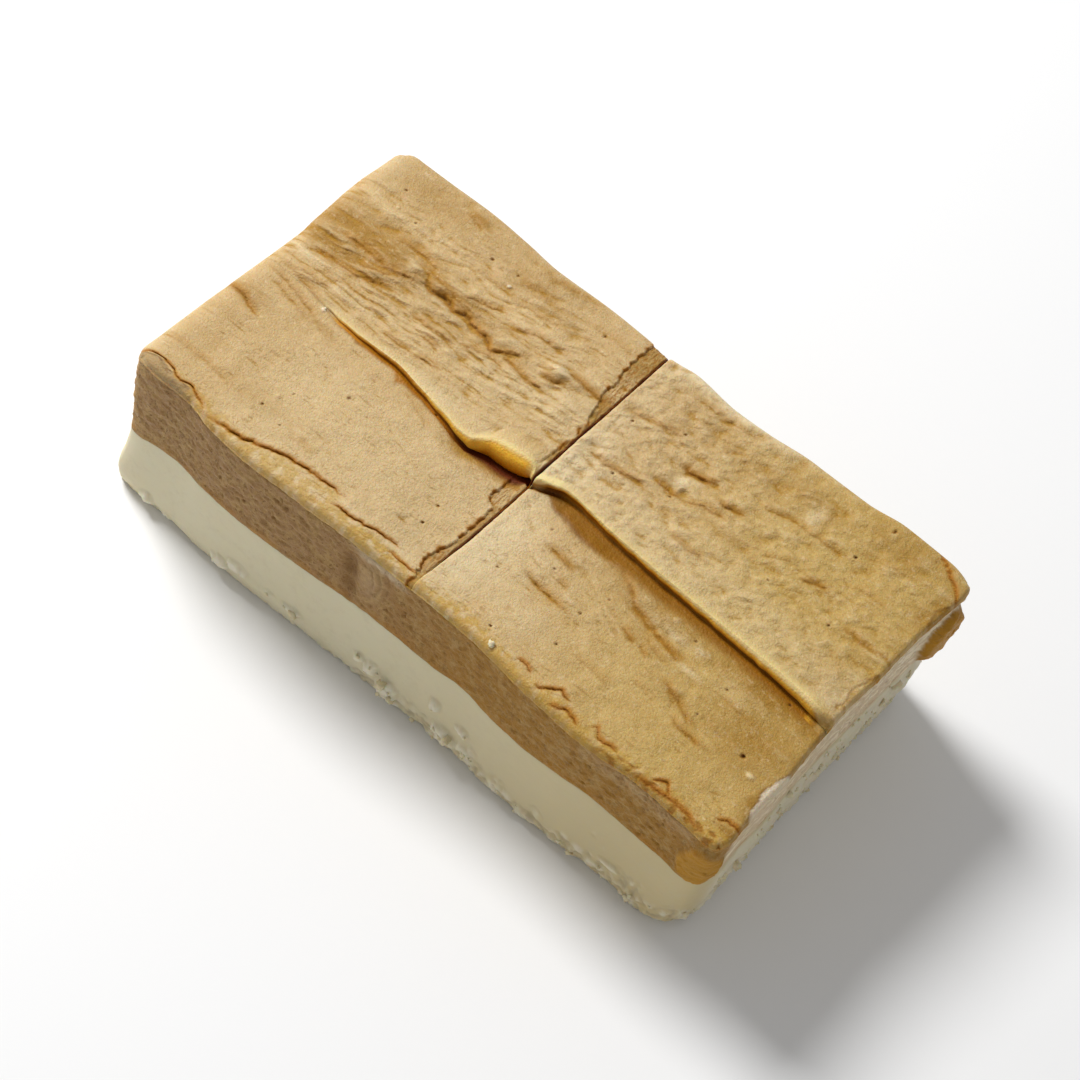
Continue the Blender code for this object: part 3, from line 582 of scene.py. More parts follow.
def caramel_wall():
    """The caramel's side: rows down from the skin's border to the joint, and closed inside by the tray that
    holds the skin, above, and by a face along the joint, below."""
    u, v = cut_line()
    border = skin_border(u, v)
    gape = along(u, SKIN_GAPE) * np.exp(-(v / 3.0) ** 2)
    head = border + 0.15 - gape
    foot_x, foot_y = plan(u, v, np.full_like(u, CREAM_HEIGHT))
    foot = layer_joint(foot_x, foot_y)
    share = np.linspace(0, 1, CARAMEL_ROWS)[:, None]
    z = head + (foot - head) * share
    x, y = plan(u, v, z)
    points = np.stack([x, y, z], -1)
    relief, hollow_shade, swirl = caramel_relief(points)
    meeting = 1 - ease(z - foot, 0.0, 0.8)
    relief = blade_marks(points) + relief * (1 - meeting) + 0.05 * meeting
    relief = relief + drag(points) * ease(z - foot, -0.1, 1.2)
    relief = relief - 0.3 * (1 - ease(share, 0.0, 0.03))
    warm = np.maximum(0.8 * (1 - ease(z - foot, 0.2, 2.2)), ease(drag(points), 0.1, 1.2))
    warm = warm * ease(rough(points, 4.0, 2, 111), -0.6, 0.4)
    points = points + outwards(points) * relief[..., None]
    end = ease(x, 106.5, 108.5) * ease(y, 2.0, 4.5) * (1 - ease(drag(points), 0.1, 0.5))
    streaks = ease(noise(points, (9.0, 9.0, 0.9), 112), -0.1, 0.45)
    strip = np.exp(-((x - 46.0) / 4.6) ** 4 - ((z - head + 0.6 + 0.5 * ease(x, 45, 50)) / 0.7) ** 2) * (y < 6)
    # Paler: the swirl, a strip below the skin, dry streaks at the upper right, and the right end's whitish streaked
    # face, lightened as painted light.
    pale_and_painted_light = np.maximum(np.maximum(0.12 * swirl, 0.5 * strip), (0.6 + 0.4 * streaks) * end)
    dry_top = ease(x, 80, 90) * (1 - ease(x, 103, 106)) * ease(z - head, -4.5, -1.0) * (y < 6)
    pale_and_painted_light = np.maximum(pale_and_painted_light, 0.14 * dry_top)
    pored = (0.6 - 0.25 * ease(x, 40, 70) * (y < 30)) * (1 - swirl) * (1 - meeting)
    pored = pored * (1 - ease(drag(points), 0.1, 0.4)) * (1 - 0.9 * end)
    marks = {"golden": ease(x, 35, 70), "pale_and_painted_light": pale_and_painted_light, "warm": warm, "hollow_shade": hollow_shade * (1 - meeting),
             "pored": pored, "pulled": ease(drag(points), 0.2, 0.8) * (0.75 + 0.25 * streaks)}
    over = []
    for inset, level in ((2.8, None), (2.8, 0.0), (0.5, 0.0), (0.2, 0.05)):
        ring_x, ring_y = plan(np.clip(u, inset, LENGTH - inset), np.clip(v, inset, WIDTH - inset), head)
        ring_z = np.full_like(u, SKIN_DEPTH - 0.6) if level is None else head - 0.45 - gape * 0.2 + level
        over.append(np.stack([ring_x, ring_y, ring_z], -1))
    under = []
    for inset in (0.985, 0.8, 0.3):
        row = points[-1].copy()
        row[:, :2] = (MIDDLE_X, MIDDLE_Y) + (row[:, :2] - (MIDDLE_X, MIDDLE_Y)) * inset
        row[:, 2] = layer_joint(row[:, 0], row[:, 1]) + 0.25
        under.append(row)
    rows = np.concatenate([over, points, under])
    extra = {key: np.concatenate([np.zeros((4, len(u))), value, np.zeros((3, len(u)))]).ravel()
             for key, value in marks.items()}
    return rows, {key: np.append(value, [0, 0]) for key, value in extra.items()}


caramel_rows, caramel_marks = caramel_wall()
caramel = add_piece("caramel_body", *closed_wall(caramel_rows),
                    fudge_material("cut_caramel", caramel_paint, 0.3, 0.28, 0.2), caramel_marks)
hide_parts("caramel_layer")


# ---- The skin's two squares -----------------------------------------------------------------------------------
# The caramel's top skin, dried and wrinkled, in two squares either side of the knife's score. The skin behind
# the fold laps forwards over the skin before it: a thick rolled lip by the score on the left, a bead on the right.

# The score: where it runs, how wide it gapes along y, and how far the skin beside it on the left was smeared.
SCORE_PATH = [(0, 51.4), (5, 51.6), (14, 52.2), (26, 52.4), (38, 52.6), (52, 52.9), (60, 53.0)]
SCORE_MIDDLE = LENGTH * 0.485
SCORE_GAPE = [(0, 0.04), (2, 0.06), (5, 0.22), (10, 0.30), (30, 0.36), (60, 0.34)]
SMEAR_WIDTH = [(0, 0.8), (4, 1.5), (6.5, 1.9), (10, 1.1), (16, 0.9), (19, 1.3), (20.2, 2.7), (25, 2.7),
               (31, 0.9), (34, 0.9), (36, 0.35), (39.5, 0.6), (43.5, 1.7), (48, 2.6), (57, 3.0), (60, 3.0)]
SMEAR_DEPTH = 0.35

# The fold's roll, given along x: its radius, how far its middle stands above the skin behind, in radii, the depth
# of the crease under it, and how far it is curled.
FOLD_RADIUS = [(-3, 0.2), (8, 0.2), (14, 0.25), (26, 0.3), (36, 0.42), (40, 0.65), (41.5, 0.9), (43, 1.5),
               (45, 2.0), (48, 2.25), (49.8, 2.2), (50.8, 1.9), (51.5, 1.4), (52.0, 0.8), (52.3, 0.5),
               (53, 0.5), (55, 0.45), (57.5, 0.32), (60, 0.3), (70, 0.42), (80, 0.52), (90, 0.68), (100, 0.85), (105, 1.05), (112, 1.1)]
FOLD_LIFT = [(-3, -0.9), (12, -0.9), (36, -0.85), (41.5, -0.7), (45, -0.6), (50.5, -0.6), (53, -0.7),
             (75, -0.7), (100, -0.5), (112, -0.5)]
FOLD_CREASE = [(-3, 0.0), (8, 0.0), (14, 0.2), (26, 0.35), (36, 0.45), (43, 1.2), (50, 1.5), (54, 0.5),
               (62, 0.3), (85, 0.35), (105, 0.4), (107, 0.2), (112, 0.1)]
FOLD_CURL = [(-3, 0.0), (9, 0.0), (15, 0.9), (30, 1.0), (52.1, 1.0), (52.4, 0.6), (53.2, 0.6), (55, 1.0),
             (104, 1.0), (107, 0.2), (108, 0.0), (112, 0.0)]
CURL_FROM, CURL_TO = 245.0, 75.0

ROWS_SHOULDER, ROWS_EDGE, ROWS_FRONT, ROWS_CREASE, ROWS_CURL, ROWS_BACK = 8, 34, 90, 8, 26, 136
COLUMNS_LEFT, COLUMNS_RIGHT, COLUMNS_SCORE = 226, 232, 28
FRONT_TO_FOLD, FOLD_TO_BACK, EDGE_BAND, SCORE_BAND = 26.0, 32.0, 5.0, 3.8

# Creases that run mainly along x, each with its line, depth, width and the height of the lip behind it.
LEFT_CREASES = [
    ([(15.5, 44.0), (18, 43.2), (19, 42.1), (20.5, 41.8), (22, 42.3), (24, 41.8), (27, 42.1), (29, 41.6),
      (31.5, 41.3), (33, 40.0), (34.5, 40.9), (37, 42.3), (39.5, 43.2)], 0.75, 0.55, 0.35),
    ([(16, 44.4), (20, 43.9), (23, 43.3), (28, 42.6)], 0.25, 0.4, 0.2),
    ([(2.5, 40.3), (8, 40.5), (13, 40.1), (16, 40.9), (19, 41.3)], 0.4, 0.5, 0.35),
    ([(9.5, 45.5), (14.5, 45.9), (19.5, 45.5)], 0.3, 0.35, 0.2),
    ([(1.5, 34.0), (4.5, 35.1), (6, 35.5), (9.5, 35.7), (13, 36.6), (17, 37.6)], 0.35, 0.5, 0.55),
    ([(8.5, 37.9), (12, 38.7), (14.5, 39.4)], 0.3, 0.4, 0.2),
    ([(24, 44.5), (26, 45.6), (28, 46.0), (31, 47.2)], 0.35, 0.4, 0.25),
    ([(31, 44.3), (34, 45.8), (37, 47.2), (43, 47.4)], 0.25, 0.4, 0.2),
    ([(43.5, 44.9), (46, 45.2), (49, 44.7), (52.5, 44.8)], 0.4, 0.5, 0.2),
    ([(34.5, 40.6), (38, 40.1), (41, 39.5), (44, 39.7)], 0.35, 0.4, 0.2),
    ([(29, 37.6), (32, 38.4), (34, 39.0), (37, 38.6)], 0.25, 0.4, 0.2),
    ([(20, 36.3), (24, 36.1), (29, 36.4)], 0.25, 0.4, 0.15),
    ([(24.5, 34.2), (27.5, 34.3)], 0.3, 0.35, 0.1),
    ([(41, 41.8), (43, 42.0), (45.5, 42.9)], 0.35, 0.5, 0.2),
    ([(3.5, 30.4), (6, 30.5), (9.5, 30.6)], 0.25, 0.35, 0.1),
    ([(19.5, 30.3), (22, 30.5), (25.5, 30.4)], 0.25, 0.3, 0.1),
    ([(25.5, 30.6), (28, 31.1), (30.5, 31.2)], 0.3, 0.4, 0.1),
    ([(4, 31.9), (8, 32.6), (13, 33.3), (18.5, 32.6)], 0.12, 0.4, 0.1),
    ([(14, 57.0), (16, 56.8), (18, 56.4)], 0.2, 0.45, 0.1),
    ([(28, 53.0), (31, 54.0), (35, 54.1)], 0.15, 0.5, 0.1),
    ([(31, 57.0), (36, 58.1), (41, 58.8)], 0.12, 0.4, 0.1),
    ([(20, 50.4), (30, 50.1), (36, 50.7), (41, 51.3)], 0.12, 0.5, 0.1),
    ([(40, 54.8), (45, 55.1), (50, 55.0)], 0.12, 0.35, 0.05),
    ([(-0.5, 21.1), (2.5, 20.2), (4.8, 19.1), (5.6, 19.0)], 0.5, 0.45, 0.1),
    ([(-1, 6.8), (5, 7.2), (12, 6.8)], 0.12, 0.4, 0.08),
    ([(22.5, 6.3), (24, 6.6), (27.5, 6.6)], 0.1, 0.3, 0.08),
    ([(10, 25.3), (13, 24.3), (16, 23.6)], 0.08, 0.6, 0.05),
    ([(30, 24.7), (33, 23.6), (36, 22.4)], 0.10, 0.5, 0.05),
    ([(0.8, 27.5), (6, 26.6), (12.5, 25.2)], 0.22, 0.55, 0.16),
    ([(1.3, 29.6), (6, 28.8), (11, 27.8)], 0.22, 0.55, 0.14),
    ([(2.5, 25.6), (7, 24.9), (11, 24.1)], 0.16, 0.5, 0.10),
]
RIGHT_CREASES = [
    ([(66, 44.9), (68, 45.0), (70, 45.2), (72.5, 45.9)], 0.6, 0.7, 0.2),
    ([(64.5, 39.8), (66, 39.7), (69.5, 39.9)], 0.4, 0.45, 0.2),
    ([(70, 40.0), (72, 40.9), (74, 41.5), (77, 41.9)], 0.35, 0.5, 0.2),
    ([(74.5, 43.4), (76, 43.8), (78.5, 44.5)], 0.4, 0.45, 0.2),
    ([(54.5, 46.8), (58, 47.4), (64, 49.0)], 0.22, 0.5, 0.2),
    ([(54.5, 36.4), (58, 36.3), (60, 36.7), (65, 37.6)], 0.3, 0.5, 0.2),
    ([(78, 47.4), (81, 48.3), (84.5, 49.3), (90, 49.5), (95, 50.2)], 0.2, 0.4, 0.2),
    ([(90.5, 41.9), (93, 42.8), (95, 43.5)], 0.35, 0.45, 0.15),
    ([(72, 33.8), (75, 33.7), (79, 33.8)], 0.2, 0.5, 0.1),
    ([(59, 56.0), (66, 56.4), (70, 56.9), (74, 57.7)], 0.15, 0.4, 0.15),
    ([(94, 51.8), (98, 52.9), (103, 53.8)], 0.12, 0.4, 0.1),
    ([(96, 46.2), (99, 46.9), (104, 47.0)], 0.12, 0.4, 0.1),
    ([(100, 39.5), (103, 39.7), (106.5, 39.6)], 0.25, 0.4, 0.15),
    ([(84, 41.0), (86, 42.0), (88.5, 43.4)], 0.15, 0.4, 0.12),
    ([(70, 24.4), (74, 23.1), (76.5, 21.1), (80, 20.0), (84, 19.1), (88, 18.4)], 0.35, 0.7, 0.1),
    ([(60.5, 20.1), (63, 19.7), (66.5, 19.1)], 0.3, 0.45, 0.1),
    ([(60.5, 14.3), (63, 13.7), (67.5, 13.2), (70.5, 13.1)], 0.25, 0.45, 0.1),
    ([(63.2, 13.5), (64.9, 13.3)], 0.45, 0.3, 0.0),
    ([(65.0, 13.4), (66.8, 13.2)], 0.45, 0.3, 0.0),
    ([(65.5, 16.4), (67.5, 16.0)], 0.25, 0.35, 0.0),
    ([(77, 16.8), (78.5, 16.5), (79.8, 16.2)], 0.35, 0.4, 0.05),
    ([(80.5, 16.3), (82.5, 15.7)], 0.25, 0.35, 0.05),
    ([(86, 14.4), (88, 14.0), (91, 12.9), (94.5, 11.2)], 0.3, 0.45, 0.12),
    ([(88, 13.2), (90, 12.6)], 0.2, 0.3, 0.05),
    ([(90.5, 10.7), (93, 10.0), (97, 9.6)], 0.3, 0.4, 0.12),
    ([(74, 8.4), (78, 8.3), (82, 8.0)], 0.12, 0.4, 0.08),
    ([(83, 11.3), (86, 11.0), (88, 10.8)], 0.12, 0.4, 0.05),
    ([(80, 18.2), (82, 17.4), (85.5, 16.9)], 0.18, 0.5, 0.08),
    ([(94, 18.4), (98, 18.0), (101, 18.1)], 0.10, 0.4, 0.05),
]

# Cracks near the front edge, where the skin is dry: the same numbers.
LEFT_CRACKS = [
    ([(-1.5, 1.6), (0.5, 2.0), (2.2, 2.7), (4, 2.3), (5, 1.5), (7, 1.7), (10, 0.8), (12, 0.3)], 0.9, 0.22, 0.2),
    ([(11, 0.3), (13, 0.6), (16, 1.2), (20, 2.1), (23, 3.1), (26, 3.8), (30, 4.2), (33, 4.4), (36.5, 4.5)],
     0.9, 0.22, 0.25),
    ([(34, 2.4), (36, 2.5), (38, 2.5), (40, 2.8), (41.5, 3.4), (44, 3.7), (46.5, 3.9)], 0.8, 0.2, 0.2),
    ([(45, 1.7), (47, 2.0), (49, 1.7), (51, 2.1)], 0.3, 0.15, 0.1),
]
RIGHT_CRACKS = [
    ([(73.8, 1.2), (75, 1.5), (76.2, 2.3), (77.5, 3.0), (79.2, 2.4)], 0.7, 0.2, 0.2),
    ([(76.8, 0.6), (78.5, 1.0), (80, 1.5), (82.6, 1.0)], 0.7, 0.2, 0.15),
    ([(95, 1.4), (96.6, 2.1), (98.4, 1.3)], 0.6, 0.3, 0.2),
    ([(69.5, 2.3), (71, 2.5), (72.5, 2.0)], 0.3, 0.15, 0.1),
    ([(83.6, 1.9), (84.6, 2.2), (86, 1.3), (89, 1.5)], 0.4, 0.15, 0.1),
    ([(104.8, 2.9), (106, 3.4), (108.3, 3.7)], 0.5, 0.2, 0.1),
    ([(92, 0.3), (96, 0.5), (100, 0.9), (105, 0.5)], 0.5, 0.25, 0.1),
    ([(102.4, 60.2), (104, 58.8), (105.4, 57.9), (106.5, 57), (108.6, 55.2)], 0.8, 0.25, 0.15),
]

# How deep in from the right edge thin flakes of skin broke away, along y.
RIGHT_FLAKES = [(0, 0.0), (5, 0.0), (6.5, 0.4), (9, 0.8), (11, 1.1), (13.5, 0.7), (15.5, 0.2), (17, 0.0),
                (27, 0.0), (28.2, 1.2), (30, 0.8), (32, 1.3), (34.5, 0.9), (36.5, 0.5), (38, 0.0), (48.5, 0.0),
                (50, 0.5), (52, 0.8), (53.5, 0.5), (55, 0.0), (60, 0.0)]

# Pin holes and single grains on each square: along x, along y, radius, and height, which is negative in a hole.
LEFT_PITS = [(4.9, 54.0, 0.22, -0.35), (10.0, 50.1, 0.2, -0.3), (22.5, 53.5, 0.28, -0.3), (27.2, 54.0, 0.22, -0.25),
             (43.7, 54.7, 0.22, -0.3), (16.4, 7.7, 0.2, -0.4), (45.6, 9.6, 0.2, -0.35), (45.3, 13.4, 0.2, -0.3),
             (18.3, 12.4, 0.15, -0.25), (6.2, 50.5, 0.3, 0.25), (27.6, 51.4, 0.3, 0.3), (11.3, 27.3, 0.4, 0.26),
             (17.0, 10.6, 0.35, 0.2), (20.6, 6.8, 0.15, -0.2), (43.3, 44.2, 1.2, 0.3), (15.0, 43.7, 1.5, 0.2),
             (17.0, 42.1, 1.6, 0.2), (24.3, 17.9, 0.3, -0.12), (34.9, 25.4, 0.2, -0.4)]
RIGHT_PITS = [(63.4, 49.5, 0.22, -0.35), (56.3, 45.5, 0.22, -0.35), (60.0, 35.9, 0.22, -0.35),
              (94.5, 50.9, 0.26, -0.45), (96.2, 57.7, 0.24, -0.4), (103.5, 58.2, 0.2, -0.3),
              (98.4, 38.5, 0.2, -0.3), (68.4, 39.0, 0.2, -0.35), (102.1, 13.0, 0.34, -0.6), (72.0, 7.9, 0.22, -0.4),
              (94.0, 19.9, 0.2, -0.35), (71.3, 14.4, 0.2, -0.3), (63.5, 3.3, 0.22, -0.35),
              (86.0, 23.0, 0.2, -0.3), (59.5, 22.5, 0.2, -0.25), (64.0, 17.5, 0.2, -0.25), (72.8, 19.3, 0.2, -0.2),
              (57.9, 11.7, 0.2, -0.2), (93.3, 13.7, 0.18, -0.2), (99.0, 39.6, 0.4, 0.2), (104.5, 11.2, 0.5, 0.25),
              (82.0, 23.9, 0.5, 0.2), (87.5, 38.2, 0.18, -0.25), (102.0, 24.5, 0.2, -0.4)]

# Patches where the skin is deeper brown, partly painted shade in dents, under lumps and before the fold, and where it
# is paler, partly painted light on the slope behind the fold: middle, half lengths along x and y, and strength.
LEFT_DEEP = [(8, 42.5, 10, 2.4, 0.7), (7, 37.5, 8, 2.0, 0.75), (10, 46.8, 11, 1.6, 0.5), (24, 43.8, 9, 1.6, 0.7),
             (31, 41.2, 7, 1.6, 0.6), (47.5, 45.2, 6, 0.9, 0.9), (43.5, 42.6, 2.0, 0.8, 1.0), (30, 54.5, 5, 2.0, 0.45),
             (16.5, 57.3, 3, 0.7, 0.8), (36, 53, 4, 1.6, 0.4), (26, 38, 6, 1.6, 0.45), (17, 8, 5, 2.5, 0.3),
             (10, 56, 14, 3.5, 0.3), (33, 57.6, 7, 0.9, 0.5), (2, 21, 3.5, 2.0, 0.45), (44, 23, 7, 1.5, 0.4),
             (13, 24.5, 4, 0.8, 0.4), (42, 20.5, 2, 0.5, 0.5), (20, 29.5, 16, 1.0, 0.2), (3, 16.5, 3, 2, 0.15)]
LEFT_PALE = [(43.6, 44.5, 1.3, 0.6, 1.0), (3, 33.2, 3.5, 0.7, 0.6), (15, 43.5, 1.6, 0.8, 0.5), (24, 2.2, 9, 1.1, 0.35),
             (35, 3.4, 4, 1.2, 0.35), (46, 3.2, 3, 1.4, 0.35), (0, 2, 1.4, 9, 0.5), (33, 27.8, 9, 1.6, 0.45),
             (1, 56, 2.0, 5, 0.4), (22, 41, 4, 0.8, 0.3), (40, 36, 8, 3, 0.25), (11, 31.8, 7, 0.7, 0.3)]
RIGHT_DEEP = [(68.8, 45.4, 3, 0.6, 1.0), (68.3, 40.3, 2.6, 0.5, 0.9), (76, 44.3, 2.6, 0.6, 0.7), (61, 37, 4, 0.6, 0.8),
              (56, 42.3, 2, 0.5, 0.6), (93, 43.0, 2.6, 0.6, 0.7), (84, 54.5, 8, 2.5, 0.5), (75, 52.5, 9, 3, 0.3),
              (100, 57, 7, 3.0, 0.45), (103, 39.8, 3, 0.4, 0.8), (107, 40, 1.6, 0.5, 0.9), (107.5, 52, 1.6, 4, 0.7),
              (80, 39.5, 3, 1, 0.45), (66, 53, 8, 3, 0.3), (55, 47.2, 1.6, 1.2, 0.8), (75.5, 33.9, 3, 0.5, 0.7),
              (64, 19.8, 2.6, 0.7, 0.8), (66, 13.4, 2.5, 0.4, 0.8), (78.6, 16.5, 1.3, 0.5, 1.0), (82, 15.9, 1.3, 0.4, 0.7),
              (78, 20.9, 5, 1.2, 0.6), (84, 19.4, 3, 0.7, 0.9), (80, 23, 9, 1.3, 0.35), (95, 9.9, 3, 0.4, 0.9),
              (88.5, 14.1, 2.5, 0.6, 0.8), (93, 12.3, 3, 0.5, 0.6), (102, 16, 8, 6, 0.6), (105, 28, 5, 9, 0.35),
              (66, 25.2, 6, 1.0, 0.7), (81, 17.3, 6, 1.5, 0.3), (100, 23, 9, 2, 0.5), (107, 2.3, 1.3, 1.0, 0.9),
              (72, 23, 3, 1.5, 0.3), (107.5, 9, 1.0, 6, 0.7)]
RIGHT_PALE = [(68.2, 42.6, 1.0, 1.2, 1.0), (86, 52.3, 1.2, 1.8, 0.7), (83.5, 21.5, 2.0, 0.6, 0.6), (87.6, 22.2, 1.0, 0.4, 0.7),
              (88, 18.3, 2.2, 0.5, 0.7), (70, 44, 1.0, 0.6, 0.4), (64, 59.0, 10, 1.5, 1.0), (86, 51, 1.0, 0.6, 0.6),
              (104.4, 11.3, 0.6, 0.4, 0.9), (66, 8, 5, 4, 0.25), (106, 29, 3, 2, 0.3), (95, 20, 3, 2, 0.2)]


def shares(side_radius, reach, *bands):
    """Shares from 0 at a side to 1 at the far end of reach: even steps of arc round the shoulder, then each band
    of rows (up to where in millimetres, how many rows)."""
    arc = (1 - np.sin(np.linspace(np.pi / 2, 0, ROWS_SHOULDER))) * side_radius
    places = [arc]
    start = side_radius
    for end, count in bands:
        places.append(np.linspace(start, end, count + 1)[1:])
        start = end
    return np.concatenate(places) / reach


def fold_rows(x):
    """The rows of points across the top at each x, from the front side to the back: how far along y each lies,
    and its height above the plain top. The skin runs level to the crease, drops into it, follows the roll's
    circle up and over, and comes down to the skin behind. Where the curl is 0 the same rows lie flat."""
    line = np.stack([x, 0 * x], -1)
    middle = along(x, FOLD_PATH) + 0.12 * rough(line, 3.0, 2, 250)
    radius = along(x, FOLD_RADIUS)
    radius = radius * (1 + 0.16 * noise(line, 2.2, 251) * (1 - ease(radius, 0.7, 1.4)))
    step, crease, curl = along(x, FOLD_STEP), along(x, FOLD_CREASE), along(x, FOLD_CURL)
    front_level, back_level = -step * STEP_DOWN, step * STEP_UP
    roll_level = back_level + along(x, FOLD_LIFT) * radius
    foot = middle - 1.45 * radius - 0.5
    rows = []
    for share in shares(FRONT_SHOULDER, FRONT_TO_FOLD, (EDGE_BAND, ROWS_EDGE), (FRONT_TO_FOLD, ROWS_FRONT)):
        rows.append((foot * share, front_level))
    for share in np.linspace(0, 0.9, ROWS_CREASE + 1)[1:]:
        rows.append((foot + (middle - 0.15 * radius - foot) * share, front_level - crease * (1 - (1 - share) ** 2)))
    for angle in np.radians(np.linspace(CURL_FROM, CURL_TO, ROWS_CURL)):
        flat = (angle - np.radians(CURL_TO)) / np.radians(CURL_FROM - CURL_TO)
        step_share = 0.5 + 0.5 * np.cos(np.pi * flat)
        y = curl * np.cos(angle) + (1 - curl) * (0.9 - 1.6 * flat)
        z = curl * (roll_level + radius * np.sin(angle)) + (1 - curl) * (front_level + step * step_share)
        rows.append((middle + radius * y, z))
    behind = middle + 1.5 * radius + 0.3
    for share in shares(BACK_SHOULDER, FOLD_TO_BACK, (FOLD_TO_BACK, ROWS_BACK))[::-1]:
        rows.append((WIDTH - (WIDTH - behind) * share, back_level))
    return np.array([r[0] for r in rows]), np.array([r[1] for r in rows])


def crease(u, v, line, depth, width, lip, seed, slope_width=0.9):
    """A crease along a line: a narrow notch, behind which the skin swells over slope_width and sinks back slowly.
    It tapers at both ends, wavers, and comes and goes. Gives the relief, how near each point is to the bottom,
    and how much it lies on the slope behind."""
    places = np.array(line, float)
    start, end = places[0, 0], places[-1, 0]
    taper = ease(u, start - 0.3, start + 0.22 * (end - start)) * (1 - ease(u, end - 0.22 * (end - start), end + 0.3))
    flat = np.stack([u, 0 * v], -1)
    behind = v - along(u, line) - 0.3 * rough(flat, 1.6, 3, seed)
    depth = depth * np.clip(0.75 + 0.7 * noise(np.stack([u, v], -1), (1.8, 1.2), seed + 5), 0.1, 1.4)
    notch = np.exp(-(np.minimum(behind, 0) / (0.8 * width)) ** 2) * np.exp(-(np.maximum(behind, 0) / (0.45 * width)) ** 2)
    past = np.maximum(behind, 0)
    swell = (1 - np.exp(-(past / slope_width) ** 2)) * np.exp(-past / (4 * slope_width))
    slope = np.exp(-((behind - 0.5 * slope_width) / (0.75 * slope_width)) ** 2) * taper
    return (lip * swell - depth * notch) * taper, notch * taper, slope


def wrinkles(u, v, lapping, slope, size, seed):
    """Folds of drying skin: creased noise, long across the slope and short along it, bent by slower noise."""
    flat = np.stack([u, v], -1)
    bend = 1.2 * noise(flat, 8.0, seed) + 0.25 * noise(flat, 2.5, seed + 1)
    across = np.stack([u + 0.6 * noise(flat, 4.0, seed + 2), v - slope * u + bend], -1)
    return lapping * rough(across, size, 3, seed + 3, creased=True)


def edge_flakes(u, v):
    """Where thin flakes of skin broke away along the right edge: how deep in from the edge, along y, with a
    ragged line. Gives where the skin is missing, and the broken line."""
    away = LENGTH - u
    reach = along(v, RIGHT_FLAKES)
    ragged = reach + 0.2 * rough(np.stack([u, v], -1), 1.6, 3, 270) * (reach > 0.05)
    missing = (1 - ease(away - ragged, -0.06, 0.12)) * ease(reach, 0.05, 0.3)
    line = np.exp(-((away - ragged - 0.05) / 0.16) ** 2) * ease(reach, 0.05, 0.3)
    return missing, line


